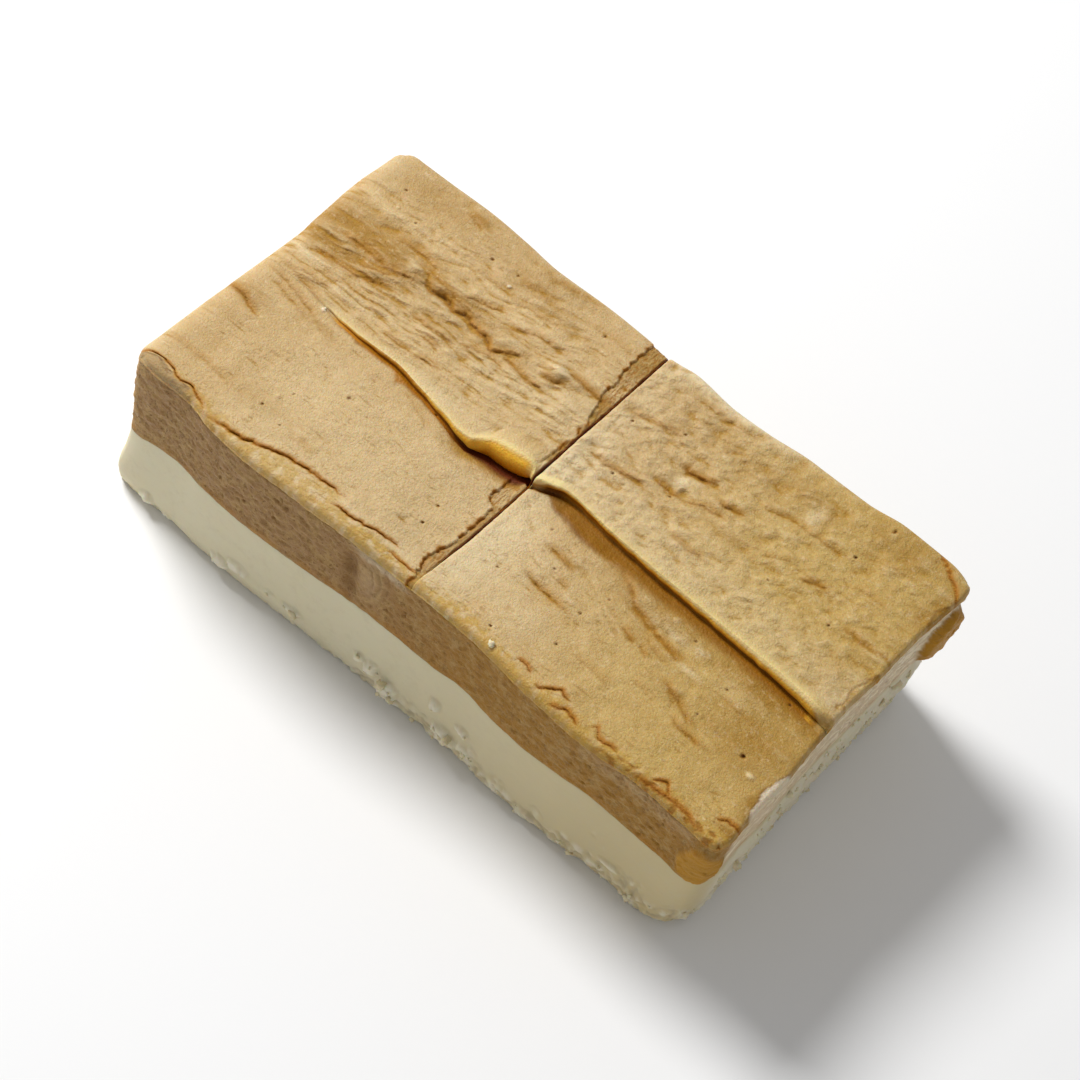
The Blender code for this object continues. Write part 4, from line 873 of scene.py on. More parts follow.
def skin_relief(u, v, creases, cracks, pits, right):
    """Everything finer than the fold on one square of skin. Gives the relief and the marks that colour it. These are:
    painted shade, dark in creases, cracks, pits, nicks, along the flakes' broken line and in the crumbly pits; the pale
    grains; painted shade on the slopes behind creases; and warm orange brown painted shade in creases, cracks and
    crumbly pits.
    """
    flat = np.stack([u, v], -1)
    middle, radius = along(u, FOLD_PATH), along(u, FOLD_RADIUS)
    curl = along(u, FOLD_CURL)
    before = ease(middle - 1.45 * radius - 0.4 - v, 0, 1.6)
    behind = ease(v - middle - 0.5 * radius, 0, 1.4)
    calm = 1 - curl * (1 - np.maximum(before, behind))
    if right:
        laps = behind * wrinkles(u, v, 0.15 - 0.05 * ease(u, 66, 84), 0.24, (4.2, 2.4), 210)
        laps = laps + behind * 0.065 * rough(flat, (2.6, 2.0), 4, 216, creased=True)
        laps = laps + 0.14 * noise(flat, (3.0, 2.2), 212) * behind * (1 - 0.6 * ease(u, 66, 84))
        laps = laps + 0.09 * rough(flat, (2.2, 1.8), 3, 214) * behind * (1 - 0.3 * ease(u, 66, 84))
        laps = laps + before * wrinkles(u, v, 0.04 + 0.07 * ease(v, 8, 20), -0.28, (4.5, 1.6), 220)
        broad = 0.18 * rough(flat, (9.0, 7.0), 2, 230) + (0.10 + 0.10 * behind) * noise(flat, (3.4, 2.7), 232)
        peel = 0.05 * rough(flat, (1.5, 1.0), 3, 240) * (0.6 + 0.6 * behind)
        ramp_width, ramp = 2.2, 0.15 * ease(u, 56, 62)
        trough = 0.45 * ease(u, 54, 60) * (1 - 0.5 * ease(u, 70, 100))
    else:
        crumpled = ease(v + 1.5 * noise(flat, 6.0, 202), 33.0, 37.5) * (1 - ease(v + 2 * noise(flat, 8.0, 203), 48, 57))
        strength = 0.05 + 0.04 * ease(v, 30, 33) + 0.12 * crumpled * (0.6 + 0.4 * ease(u, 3, 12))
        laps = behind * wrinkles(u, v, strength, 0.12, (9.0, 1.9), 310)
        laps = laps + behind * crumpled * wrinkles(u, v, 0.20, 0.10, (9.0, 4.6), 315)
        flow = ease(v, 28.0, 29.5) * (1 - ease(v, 38, 42)) * (1 - 0.3 * ease(u, 34, 50))
        laps = laps + flow * wrinkles(u, v, 0.24, 0.05, (14.0, 1.5), 320)
        laps = laps + before * wrinkles(u, v, 0.055, -0.02, (5.0, 1.1), 330)
        broad = 0.16 * rough(flat, (11.0, 8.0), 2, 340) + 0.07 * noise(flat, (3.5, 2.4), 342)
        peel = 0.045 * rough(flat, (1.6, 0.9), 3, 350) * (0.8 + 0.5 * behind)
        ramp_width, ramp = 2.6, 0.2 * ease(u, 16, 28) * (1 - 0.6 * ease(u, 41, 44))
        trough = 0.3 * ease(u, 20, 30) + 0.5 * ease(u, 38, 43)
    past = v - middle - radius
    broad = broad + ramp * np.exp(-(np.maximum(past, 0) / ramp_width) ** 2)
    broad = broad - trough * np.exp(-((past + 2.3 * radius + 0.9) / 1.4) ** 2)
    broad = broad * (1 - 0.7 * ease(radius, 0.8, 1.6) * np.exp(-(past / 3.0) ** 2))
    nicks = np.maximum(ease(noise(flat, (2.6, 0.5), 260), 0.4, 0.7), ease(noise(flat, (1.1, 0.35), 261), 0.45, 0.7))
    nicks = nicks * np.maximum(before, 0.5 * behind) * ease(noise(flat, 6.0, 262), -0.35, 0.35)
    crust = 1 - ease(v + 0.9 * rough(flat, 2.5, 2, 263), 1.6, 3.8)
    broad = broad + 0.08 * crust * rough(flat, (2.2, 1.3), 3, 264, creased=True)
    relief = calm * (laps + peel) + broad - 0.07 * nicks
    # Painted shade: dark at the bottoms of creases and cracks, on the slopes behind creases, and warm orange brown
    # along creases and cracks.
    crevice_shade, shade, warm_shade = np.zeros_like(u), np.zeros_like(u), np.zeros_like(u)
    for seed, (line, depth, width, lip) in enumerate(creases):
        rise, bottom, slope = crease(u, v, line, 0.62 * depth, 1.0 * width, 1.1 * lip, 400 + seed)
        relief, crevice_shade = relief + calm * rise, np.maximum(crevice_shade, 0.35 * min(depth / 0.5, 1) * calm * bottom ** 2)
        shade = np.maximum(shade, calm * np.maximum(slope, bottom) * min(0.3 + depth, 1.0))
        warm_shade = np.maximum(warm_shade, 0.45 * min(depth / 0.5, 1) * calm * np.maximum(bottom, 0.7 * slope))
    for seed, (line, depth, width, lip) in enumerate(cracks):
        rise, bottom, slope = crease(u, v, line, 0.5 * depth, 1.2 * width, lip, 500 + seed, 0.5)
        relief, crevice_shade = relief + rise, np.maximum(crevice_shade, (0.55 if right else 0.4) * bottom ** 2)
        warm_shade = np.maximum(warm_shade, np.maximum(np.minimum(1.5 * bottom, 1.0), 0.9 * slope))
    grain = np.zeros_like(u)
    if right:
        missing, line = edge_flakes(u, v)
        # Painted shade along the flakes' broken line, and warm and dark in the crumbly pits by the front edge.
        relief, crevice_shade = relief - 0.16 * missing, np.maximum(crevice_shade, 0.4 * line)
        grain = missing * ease(v, 5, 7) * (1 - ease(v, 15, 17))
        crumbly = ease(noise(flat, (1.5, 0.6), 266), 0.05, 0.4) * ease(u, 82, 90)
        crumbly = crumbly * (1 - ease(v + 0.6 * noise(flat, 2.0, 267), 1.0, 2.1))
        relief, warm_shade = relief - 0.18 * crumbly, np.maximum(warm_shade, 0.55 * crumbly)
        crevice_shade = np.maximum(crevice_shade, 0.25 * crumbly ** 3)
    if not right:
        torn = ease(along(u, LEFT_CRACKS[0][0]) - v, 0.1, 0.5) * (1 - ease(u, 7, 10))
        relief = relief + torn * (0.16 * rough(flat, (1.4, 0.8), 3, 265) - 0.1)
    # Pin holes get painted shade; small raised grains are paler.
    for x, y, size, height in pits:
        spot = np.exp(-(((u - x) ** 2 + (v - y) ** 2) / size ** 2) ** 1.5)
        relief = relief + height * spot
        crevice_shade = np.maximum(crevice_shade, 0.85 * spot * (height < 0))
        grain = np.maximum(grain, spot * (height > 0.25) * (size < 0.6))
    return relief, np.maximum(crevice_shade, 0.1 * nicks), grain, np.maximum(shade, 0.35 * nicks), warm_shade


def patches(u, v, places):
    """Soft patches, each with its middle, its half lengths along x and y, and its strength."""
    total = np.zeros_like(u)
    for x, y, half_x, half_y, strength in places:
        total = np.maximum(total, strength * np.exp(-((u - x) / half_x) ** 2 - ((v - y) / half_y) ** 2))
    return total


def beside_score(u, v, right):
    """How the score shapes the skin beside it. On the left a smeared strip lies lower, with a ragged crack along it; on
    the right the skin stands up in a smooth lip. Both round down into the score. Gives the relief; the painted shade in
    the crack, the splits and down the sides of the open score; what is smeared; and what is brown, which is warm
    painted shade along the smear's edge and in its splits."""
    away = (u - along(v, SCORE_PATH)) * (1 if right else -1) - along(v, SCORE_GAPE) / 2
    open_score = ease(along(v, SCORE_GAPE), 0.05, 0.3)
    rounding_reach = 0.25 if right else 0.35
    rounding = np.sqrt(1 - np.clip(1 - away / rounding_reach, 0, 1) ** 2)
    rounding = 0.8 * rounding_reach * (1 - rounding) * (0.3 + 0.7 * open_score)
    if right:
        lip = 0.12 * np.exp(-((away - 0.8) / 0.9) ** 2) * open_score
        return lip - rounding, np.zeros_like(u), np.zeros_like(u), np.zeros_like(u)
    flat = np.stack([u * 0.4, v], -1)
    edge = along(v, SMEAR_WIDTH) + 0.35 * rough(flat, 1.5, 4, 610)
    strip = 1 - ease(away - edge, -0.1, 0.12)
    crack = np.exp(-((away - edge + 0.05) / 0.2) ** 2) * ease(noise(flat, 1.1, 620), -0.1, 0.3)
    under_roll = 1 - ease(v, 24.5, 25.5) * (1 - ease(v, 30, 31))
    sunk = SMEAR_DEPTH * strip * ease(along(v, SMEAR_WIDTH), 0.3, 1.2)
    torn = rough(np.stack([u, v], -1), (0.45, 2.2), 3, 630, creased=True)
    split = ease(-torn, 0.15, 0.6) * strip * under_roll * ease(along(v, SMEAR_WIDTH), 0.8, 1.8)
    crack = crack * (1 - 0.45 * ease(v, 46, 50))
    # Painted shade in the crack and the splits, and down the sides of the open score.
    dark = np.maximum(under_roll * np.maximum(0.35 * crack, 0.2 * split), (1 - ease(away, 0.04, 0.26)) * open_score)
    relief = -rounding - under_roll * (sunk + 0.16 * crack - 0.10 * strip * torn)
    brown = np.exp(-((away - edge) / 0.42) ** 2) * ease(noise(flat, 1.1, 620), -0.2, 0.25)
    return relief, dark, under_roll * np.maximum(strip, crack), under_roll * np.maximum(brown, 0.7 * split)


def blurred(values, reach):
    """Each value averaged with its neighbours in the grid, over a square of 2 reach + 1 points each way."""
    for axis in (0, 1):
        padding = [(reach + 1, reach) if a == axis else (0, 0) for a in (0, 1)]
        running = np.cumsum(np.pad(values, padding, mode="edge"), axis=axis)
        high = np.take(running, np.arange(2 * reach + 1, running.shape[axis]), axis=axis)
        low = np.take(running, np.arange(0, running.shape[axis] - 2 * reach - 1), axis=axis)
        values = (high - low) / (2 * reach + 1)
    return values


def skin_paint(place):
    """The skin: tan in slow clouds, with deeper brown patches that are partly painted shade; painted highlights on
    crests and on the fold's rim; mustard where the front edge is dry, and brown where the knife smeared it; amber on
    the rolled lip, brightened as painted glow of light shining through it; and painted shade in hollows, creases,
    cracks, under the roll and before the fold, warm orange brown and darkest at the bottom."""
    start = place.node("ShaderNodeMix", {"data_type": "RGBA"},
                       {0: place.grain(16.0, 3.0), 6: (0.61, 0.44, 0.22, 1), 7: (0.56, 0.38, 0.17, 1)}, 2)
    colour = start.tint((0.565, 0.385, 0.115), place.mark("golden") * 0.8)
    # Deeper brown patches, partly painted shade.
    colour = colour.tint((0.32, 0.155, 0.008), place.mark("deep") * 0.85)
    # Painted highlight on crests.
    colour = colour.tint((0.72, 0.58, 0.34), place.mark("crest_highlight") * 0.4)
    # Paler patches, partly painted light.
    colour = colour.tint((0.76, 0.63, 0.39), place.mark("pale_and_painted_light") * 0.7)
    # Painted shade in hollows and on the slopes behind creases.
    colour = colour.tint((0.40, 0.20, 0.012), place.mark("valley_shade") * 0.85)
    colour = colour.tint((0.50, 0.30, 0.045), place.mark("mustard") * 0.75)
    colour = colour.tint((0.33, 0.18, 0.03), place.mark("smear") * 0.8)
    colour = colour.tint((0.36, 0.20, 0.03), place.grain(0.7, 4.0, 0.7).step(0.52, 0.76) * 0.42)
    colour = colour.tint((0.80, 0.66, 0.44), place.grain(0.8, 4.0, 0.7).step(0.52, 0.75) * 0.32)
    colour = colour.tint((0.40, 0.27, 0.12), place.mark("bare"))
    # Painted shadow in front of the fold.
    colour = colour.tint((0.27, 0.11, 0.002), place.mark("fold_shadow") * 0.95)
    # Painted highlight on the fold's rim.
    colour = colour.tint((0.90, 0.73, 0.34), place.mark("rim"))
    # The lip's own amber, brightened as painted glow of light shining through it.
    colour = colour.tint((1.0, 0.57, 0.055), place.mark("lip"))
    # Painted shade on the roll's underside, deep orange.
    colour = colour.tint((0.62, 0.21, 0.0), place.mark("under"))
    # Warm painted shade in cracks, creases and under the fold.
    colour = colour.tint((0.40, 0.15, 0.001), place.mark("warm_shade") * 0.95)
    # Painted shade, darkest, in crevices, cracks, pits and the score.
    colour = colour.tint((0.11, 0.016, 0.0), place.mark("crevice_shade"))
    colour = colour.tint((0.84, 0.72, 0.53), place.mark("grain") * 0.85)
    roughness = place.grain(3.0) * 0.16 + 0.42 + place.mark("valley_shade") * 0.15
    return colour, roughness


def block_faces(rows, columns, walls):
    """Faces of a block: its top grid, the rows of wall that hang from the grid's border, and a face below."""
    index = np.arange(rows * columns).reshape(rows, columns)
    quads = [np.stack([index[:-1, :-1], index[:-1, 1:], index[1:, 1:], index[1:, :-1]], -1).reshape(-1, 4)]
    upper = np.concatenate([index[0, :], index[1:, -1], index[-1, -2::-1], index[-2:0:-1, 0]])
    border = upper
    for wall in range(walls):
        lower = rows * columns + wall * len(border) + np.arange(len(border))
        quads.append(ring_faces(upper, lower))
        upper = lower
    last = np.full(len(upper), rows * columns + walls * len(border))
    return border, np.concatenate(quads), np.stack([last, np.roll(upper, -1), upper], -1)


def skin_square(name, creases, cracks, pits, deep_places, pale_places, right, material):
    """One square of skin. Its grid's rows follow the fold and its columns the score; its walls hang to the ragged
    border, tuck in over the cut caramel, and go down inside it, or down into the score."""
    if right:
        outer = shares(RIGHT_SHOULDER, 1.0, (LENGTH - SCORE_MIDDLE - SCORE_BAND, COLUMNS_RIGHT))
        nominal = LENGTH - np.concatenate([outer, LENGTH - SCORE_MIDDLE - np.linspace(SCORE_BAND, 0, COLUMNS_SCORE + 1)[1:]])
        nominal = nominal[::-1]
    else:
        outer = shares(LEFT_SHOULDER, 1.0, (SCORE_MIDDLE - SCORE_BAND, COLUMNS_LEFT))
        nominal = np.concatenate([outer, SCORE_MIDDLE - np.linspace(SCORE_BAND, 0, COLUMNS_SCORE + 1)[1:]])
    v, rise = fold_rows(nominal)
    near_score = np.exp(-((nominal - SCORE_MIDDLE) / 12.0) ** 2)
    half_gape = along(v, SCORE_GAPE) / 2 * (1 if right else -1)
    u = nominal + (along(v, SCORE_PATH) - SCORE_MIDDLE + half_gape) * near_score
    relief, crevice_shade, grain, shade, warm_shade = skin_relief(u, v, creases, cracks, pits, right)
    score, score_shade, smear, brown = beside_score(u, v, right)
    warm_shade = np.maximum(warm_shade, brown)
    radius, drop = shoulder(u, v)
    level = top_height(u, v)
    away = np.minimum(np.minimum(u, LENGTH - u), np.minimum(v, WIDTH - v))
    flatness = 0.35 + 0.65 * ease(away, 0, 2.0)
    lean = 0.7 * relief * flatness
    x, y = plan(u, v, level)
    z = level + rise + relief * flatness + score - drop
    grid = np.stack([x, y - lean, z], -1)
    rows, columns = u.shape
    border, quads, triangles = block_faces(rows, columns, 12)
    rim = grid.reshape(-1, 3)[border]
    rim_u, rim_v = u.ravel()[border], v.ravel()[border]
    edge_z = skin_border(rim_u, rim_v)
    side = np.minimum(np.minimum(rim_u, LENGTH - rim_u), np.minimum(rim_v, WIDTH - rim_v)) > 1e-6
    walls = []
    profile = [(0, 0.2, 0.07), (0, 0.4, 0.11), (0, 0.6, 0.13), (0, 0.8, 0.13), (0, 1.0, 0.09),
               (0.3, 1.0, 0), (1.0, 1.0, 0), (2.0, 1.0, 0), (2.0, 1.5, 0), (2.0, 1.9, 0), (2.0, 2.4, 0), (2.0, 3.0, 0)]
    plain_x, plain_y = plan(rim_u, rim_v, rim[:, 2])
    shift = rim[:, :2] - np.stack([plain_x, plain_y], -1)
    for inset, share, bulge in profile:
        below = np.where(share <= 1, rim[:, 2] + (edge_z - rim[:, 2]) * min(share, 1),
                         edge_z + (SKIN_DEPTH - edge_z) * (share - 1) / 2)
        near_u, near_v = np.clip(rim_u, inset, LENGTH - inset), np.clip(rim_v, inset, WIDTH - inset)
        near_u = np.where(side, rim_u - half_gape.ravel()[border] * 0.9 * share / 3, near_u)
        wall_x, wall_y = plan(near_u, near_v, below)
        wall = np.stack([wall_x, wall_y, below], -1)
        wall[:, :2] += shift * max(1 - share, 0)
        out = outwards(wall[None])[0]
        ragged = bulge * (1 + 0.8 * rough(wall, 2.0, 3, 710)) * ~side
        walls.append(wall + out * ragged[:, None] + out * (drag(wall) * ~side * (inset == 0))[:, None])
    last = walls[-1].mean(0, keepdims=True)
    points = np.concatenate([grid.reshape(-1, 3)] + walls + [last])
    # How far each point lies below its neighbours, near and farther off: painted shade goes into hollows and painted
    # highlight onto crests.
    detail = relief + 0.5 * score
    hollow_shade = blurred(detail, 5) - detail
    wide = blurred(detail, 16) - detail
    middle, roll = along(u, FOLD_PATH), along(u, FOLD_RADIUS)
    first_crease = ROWS_SHOULDER + ROWS_EDGE + ROWS_FRONT
    first_curl = first_crease + ROWS_CREASE
    first_back = first_curl + ROWS_CURL
    down = np.zeros(rows)
    down[first_crease:first_curl] = 1.0
    down[first_curl:first_back] = np.linspace(1, 0, ROWS_CURL)
    down = down[:, None] * along(u, FOLD_CURL)
    edge_noise = rough(np.stack([u, v], -1), 3.0, 3, 720)
    curl = along(u, FOLD_CURL)
    big = 0.45 * ease(u, 86, 104) if right else ease(roll, 1.0, 1.8)
    knob = 0 * u if right else ease(u, 50.0, 51.2)
    # Painted highlight along the top of the fold's rim, on the roll's knob by the score, and on the right fold's tip by
    # the score.
    rim_start = middle + (0.3 - 0.4 * big) * roll
    rim_end = 0.14 + 0.12 * right
    rim = (1 - ease(down, rim_end, rim_end + 0.22)) * np.exp(-np.maximum(v - rim_start, 0) / (0.6 - 0.15 * big))
    rim = rim * curl * (np.arange(rows) >= first_crease)[:, None] * (0.5 + 0.35 * big)
    rim = np.maximum(rim, 0.75 * knob * ease(down, 0.02, 0.1) * (1 - ease(down, 0.6, 0.85)))
    if right:
        tip = (1 - ease(u, 55, 58.5)) * ease(v - middle, -0.6, -0.3) * (1 - ease(v - middle, 0.8, 1.8))
        rim = np.maximum(rim, 0.8 * tip * (1 - ease(down, 0.7, 0.9)))
    # The roll's face: its own amber, brightened as painted glow of light shining through the thin lip; lower down it
    # turns deep orange as painted shade on its underside.
    golden_face = 0.65 * ease(u, 54, 57) if right else 0.45 + 0.55 * np.maximum(big, 0.5 * ease(u, 30, 42))
    golden_face = golden_face * ease(curl, 0.5, 0.9) * (1 - 0.6 * knob)
    lip = ease(down, rim_end, rim_end + 0.22) * (1 - ease(down, 0.88, 1.0)) * golden_face
    under = ease(down, 0.62 - 0.34 * big, 0.92 - 0.22 * big) * (0.6 + 0.4 * big)
    in_crease = ((np.arange(rows) >= first_crease) & (np.arange(rows) < first_curl))[:, None]
    # On the right fold: deep orange painted shade on the bead's underside, and warm painted shade in its crease and by
    # the score.
    if right:
        under = ease(down, 0.45, 0.75) * 0.75 * ~in_crease * ease(u, 57, 60) * (1 - ease(u, 100, 104))
        warm_shade = np.maximum(warm_shade, 0.4 * in_crease * curl)
        warm_shade = np.maximum(warm_shade, 0.75 * ease(down, 0.35, 0.6) * (1 - ease(u, 58, 62)))
    # Painted shade in the crease under the roll, deepest at its bottom and under the big roll.
    crease_start = middle - 1.45 * roll - 0.5
    gap_reach = 0.12 + 0.8 * ease(roll, 0.9, 2.2)
    fold_crevice_shade = np.exp(-(np.maximum(crease_start + 0.2 - v, 0) / gap_reach) ** 2) * (down < 0.99) + (down >= 0.99)
    fold_crevice_shade = np.where(np.arange(rows)[:, None] < first_curl, fold_crevice_shade, ease(down, 0.84, 0.96))
    fold_crevice_shade = fold_crevice_shade * curl * ((0.1 + 0.6 * ease(u, 53, 54) * (1 - ease(u, 56, 58)))
                                if right else 0.15 + 0.85 * ease(u, 34, 43))
    # Painted shadow: a dark brown band on the skin in front of the fold, wider before the big roll and before the right
    # fold's start.
    front_of_fold = np.maximum(middle - 0.8 * roll - 0.3 - v, 0)
    if right:
        fold_shadow_reach = along(u, [(52, 0.8), (55, 1.0), (58, 2.8), (64, 3.3), (72, 2.9), (85, 2.3), (108, 1.9)])
    else:
        fold_shadow_reach = 0.7 + 0.5 * roll + 0.6 * ease(roll, 0.9, 2.2)
    band_edge = (front_of_fold + 0.3 * edge_noise) / fold_shadow_reach
    fold_shadow = 1 - ease(band_edge, 0.35, 1.2)
    if right:
        fold_shadow = np.maximum(fold_shadow, (1 - ease(band_edge, 0.75, 1.1)) * (1 - ease(u, 66, 74)))
    fold_shadow = fold_shadow * (v < middle) * curl * ease(u, 10, 18)
    if right:
        # Painted shade along the outer edge of that band before the right fold's start.
        outer_line = np.exp(-((band_edge - 0.95) / 0.14) ** 2) * ease(u, 55, 57.5) * (1 - ease(u, 62, 68))
        crevice_shade = np.maximum(crevice_shade, 0.4 * outer_line * (v < middle))
    dry = 1 - ease(v + 0.8 * edge_noise, 1.2, 2.4 if right else 1.6)
    speck = rough(np.stack([u, v], -1), 1.4, 3, 725)
    edge_strip = 1 - ease(v + 0.6 * edge_noise, 1.8, 3.4)
    # Paler patches, partly painted light, and pale specks by the front edge; deeper brown patches, partly painted
    # shade.
    pale_and_painted_light = patches(u, v, pale_places) + 0.15 * edge_strip * ease(speck, 0.1, 0.8)
    deep = patches(u + 0.8 * edge_noise, v + 0.5 * edge_noise, deep_places) + 0.12 * edge_noise
    deep = deep + 0.35 * (1 - ease(v + 0.3 * edge_noise, 0.2, 1.2)) * ease(u, 40, 60)
    if right:
        patch = np.exp(-((u - 60) / 6) ** 2 - ((v - 2.3) / 1.2) ** 2)
        mustard = 0.9 * dry + patch * ease(edge_noise, -0.6, 0.3)
        deep = deep + 0.05 + 0.10 * ease(u, 60, 75) + 0.08 * ease(u, 85, 100)
        # Painted shadow on the skin in front of the right fold.
        deep = deep + 0.45 * np.exp(-((middle - v - 1.5) / 3.0) ** 2) * (v < middle) * ease(u, 58, 68)
        # Painted highlight on the right square beside the score, where its skin rises in a lip.
        pale_and_painted_light = pale_and_painted_light + 0.55 * (1 - ease(u + edge_noise, 54.5, 60)) * (1 - 0.5 * ease(v, 40, 50))
        pale_and_painted_light = pale_and_painted_light + 0.3 * ease(v, 5, 7) * (1 - ease(v, 19, 24)) * (1 - ease(u, 60, 66))
        pale_and_painted_light = pale_and_painted_light + 0.35 * ease(v - middle, 0.3, 1.0) * (1 - ease(v - middle + edge_noise, 5, 12))
        pale_and_painted_light = pale_and_painted_light + 0.25 * ease(v + 0.5 * edge_noise, 57.5, 59.0) * (1 - ease(u, 80, 92))
        smear, bare = 0 * u, 0 * u
    else:
        # Warm painted shade in front of the left fold: a triangle near its middle and a strip along it.
        fold_shade_triangle = 1 - ease(middle - v + 0.2 * edge_noise + np.abs(u - 27.0), 1.9, 3.0)
        fold_shade_strip = (1 - ease(middle - v, 0.9, 1.6)) * ease(u, 17, 21) * (1 - ease(u, 30, 33))
        warm_shade = np.maximum(warm_shade, 0.9 * np.maximum(fold_shade_triangle, 0.7 * fold_shade_strip) * (v < middle))
        corner_line = along(u, LEFT_CRACKS[0][0]) + 0.2 * edge_noise
        bare = ease(corner_line - v, 0.2, 0.5) * (1 - ease(u + edge_noise, 7, 10))
        # Painted shade in the pores of the bare corner.
        pores = ease(noise(np.stack([u, v], -1), (1.5, 0.5), 730), 0.25, 0.6)
        crevice_shade = np.maximum(crevice_shade, 0.45 * pores * bare)
        patch = np.exp(-((u - 42.5) / 4) ** 2 - ((v - 1.4) / 1.0) ** 2)
        mustard = 0.85 * (1 - ease(v + 0.6 * edge_noise, 1.6, 3.2)) + patch * ease(edge_noise, -0.6, 0.3)
        outside_crack = ease(along(u, LEFT_CRACKS[1][0]) - v, 0.0, 0.5) * ease(u, 13, 18) * (1 - ease(u, 33, 37))
        mustard = np.maximum(mustard, 0.8 * outside_crack)
        # Deeper brown over the wrinkled band, most towards the left end: partly painted shade of its folds.
        band = ease(v + edge_noise, 33, 37) * (1 - ease(v + edge_noise, 44, 49))
        deep = deep + 0.16 * ease(v, 48, 53) + band * (0.12 + 0.36 * (1 - ease(u, 10, 24)))
        pale_and_painted_light = pale_and_painted_light + 0.2 * (1 - ease(v, 20, 24)) * ease(u, 10, 20)
        pale_and_painted_light = pale_and_painted_light + 0.25 * ease(u, 38, 44) * ease(v, 34, 38) * (1 - ease(v, 46, 50))
        deep = deep + 0.12 * (1 - ease(v, 20, 26)) * (1 - ease(u, 8, 18))
        behind_roll = ease(v, 28.8, 29.6) * (1 - ease(v, 44, 48))
        smear = smear * (0.35 + 0.65 * ease(v, 50, 54) + 0.4 * (v < 20) + 0.65 * behind_roll)
    smear = np.clip(smear, 0, 1)
    mustard = mustard * ease(-speck, -0.7, 0.3)
    # The marks that the skin's material reads. Most of them paint light and shade: shade in crevices, hollows and
    # before the fold, warm shade, highlights on crests and the fold's rim, the lip's glow and the shade under the roll.
    marks = {"crevice_shade": np.maximum(np.maximum(crevice_shade, score_shade), fold_crevice_shade), "grain": grain, "smear": smear, "mustard": mustard,
             "deep": np.clip(deep, 0, 1), "fold_shadow": fold_shadow, "golden": ease(u, 56, 96), "rim": rim, "warm_shade": warm_shade,
             "valley_shade": ease(hollow_shade, 0.02, 0.18) * (0.4 if right else 0.65) + 0.5 * ease(wide, 0.04, 0.3) + 0.6 * shade,
             "bare": bare,
             "crest_highlight": ease(-hollow_shade, 0.02, 0.14) * 0.4 + 0.35 * ease(-wide, 0.05, 0.3), "pale_and_painted_light": pale_and_painted_light,
             "lip": lip, "under": under}
    marks = {key: np.concatenate([value.ravel()] + [value.ravel()[border]] * 12 + [[0.0]])
             for key, value in marks.items()}
    square = add_piece(name, points, quads, triangles, material, marks)
    return square


skin_material = fudge_material("caramel_skin", skin_paint, 0.35, 0.36, 0.38)
skin_left = skin_square("skin_left", LEFT_CREASES, LEFT_CRACKS, LEFT_PITS, LEFT_DEEP, LEFT_PALE, False, skin_material)
skin_right = skin_square("skin_right", RIGHT_CREASES, RIGHT_CRACKS, RIGHT_PITS, RIGHT_DEEP, RIGHT_PALE, True,
                         skin_material)


# ---- The crumbs -----------------------------------------------------------------------------------------------
# Dry crumbs of cream fudge, broken off as the slab was cut and lifted. They cling to the torn foot and the
# lumps of the lower front, and two lie on the skin.

CRUMB_COUNT = 150
CRUMB_SMALL, CRUMB_LARGE = 0.2, 0.75
SKIN_CRUMBS = [(65.5, 1.1, 0.5), (11.3, 27.3, 0.28)]
PEBBLE_RINGS, PEBBLE_SIDES = 5, 8


def pebbles(middles, radii, seed):
    """Points and faces of many pebbles: each is a sphere on a grid of rings and sides, whose radius a smooth
    noise varies by a third, so that no two are alike."""
    tilt = np.pi * np.arange(1, PEBBLE_RINGS + 1)[:, None] / (PEBBLE_RINGS + 1)
    turn = 2 * np.pi * np.arange(PEBBLE_SIDES) / PEBBLE_SIDES
    ring = [np.sin(tilt) * np.cos(turn), np.sin(tilt) * np.sin(turn), np.cos(tilt) * np.ones_like(turn)]
    ball = np.concatenate([np.stack(ring, -1).reshape(-1, 3), [(0.0, 0.0, 1.0), (0.0, 0.0, -1.0)]])
    chance = np.random.default_rng(seed)
    own = chance.uniform(0, 400, (len(middles), 1, 3))
    stretch = chance.uniform(0.7, 1.3, (len(middles), 1, 3))
    size = radii[:, None, None] * (1 + 0.8 * noise(ball * 1.5 + own, 1.0, seed))[..., None]
    points = middles[:, None] + ball * stretch * size
    index = np.arange(PEBBLE_RINGS * PEBBLE_SIDES).reshape(PEBBLE_RINGS, PEBBLE_SIDES)
    quads = np.concatenate([ring_faces(index[i], index[i + 1]) for i in range(PEBBLE_RINGS - 1)])
    top, bottom = index.size, index.size + 1
    fan_top = np.stack([np.full(PEBBLE_SIDES, top), index[0], np.roll(index[0], -1)], -1)
    fan_bottom = np.stack([np.full(PEBBLE_SIDES, bottom), np.roll(index[-1], -1), index[-1]], -1)
    first = np.arange(len(middles))[:, None, None] * len(ball)
    triangles = np.concatenate([fan_top, fan_bottom])
    return points.reshape(-1, 3), (quads + first).reshape(-1, 4), (triangles + first).reshape(-1, 3)


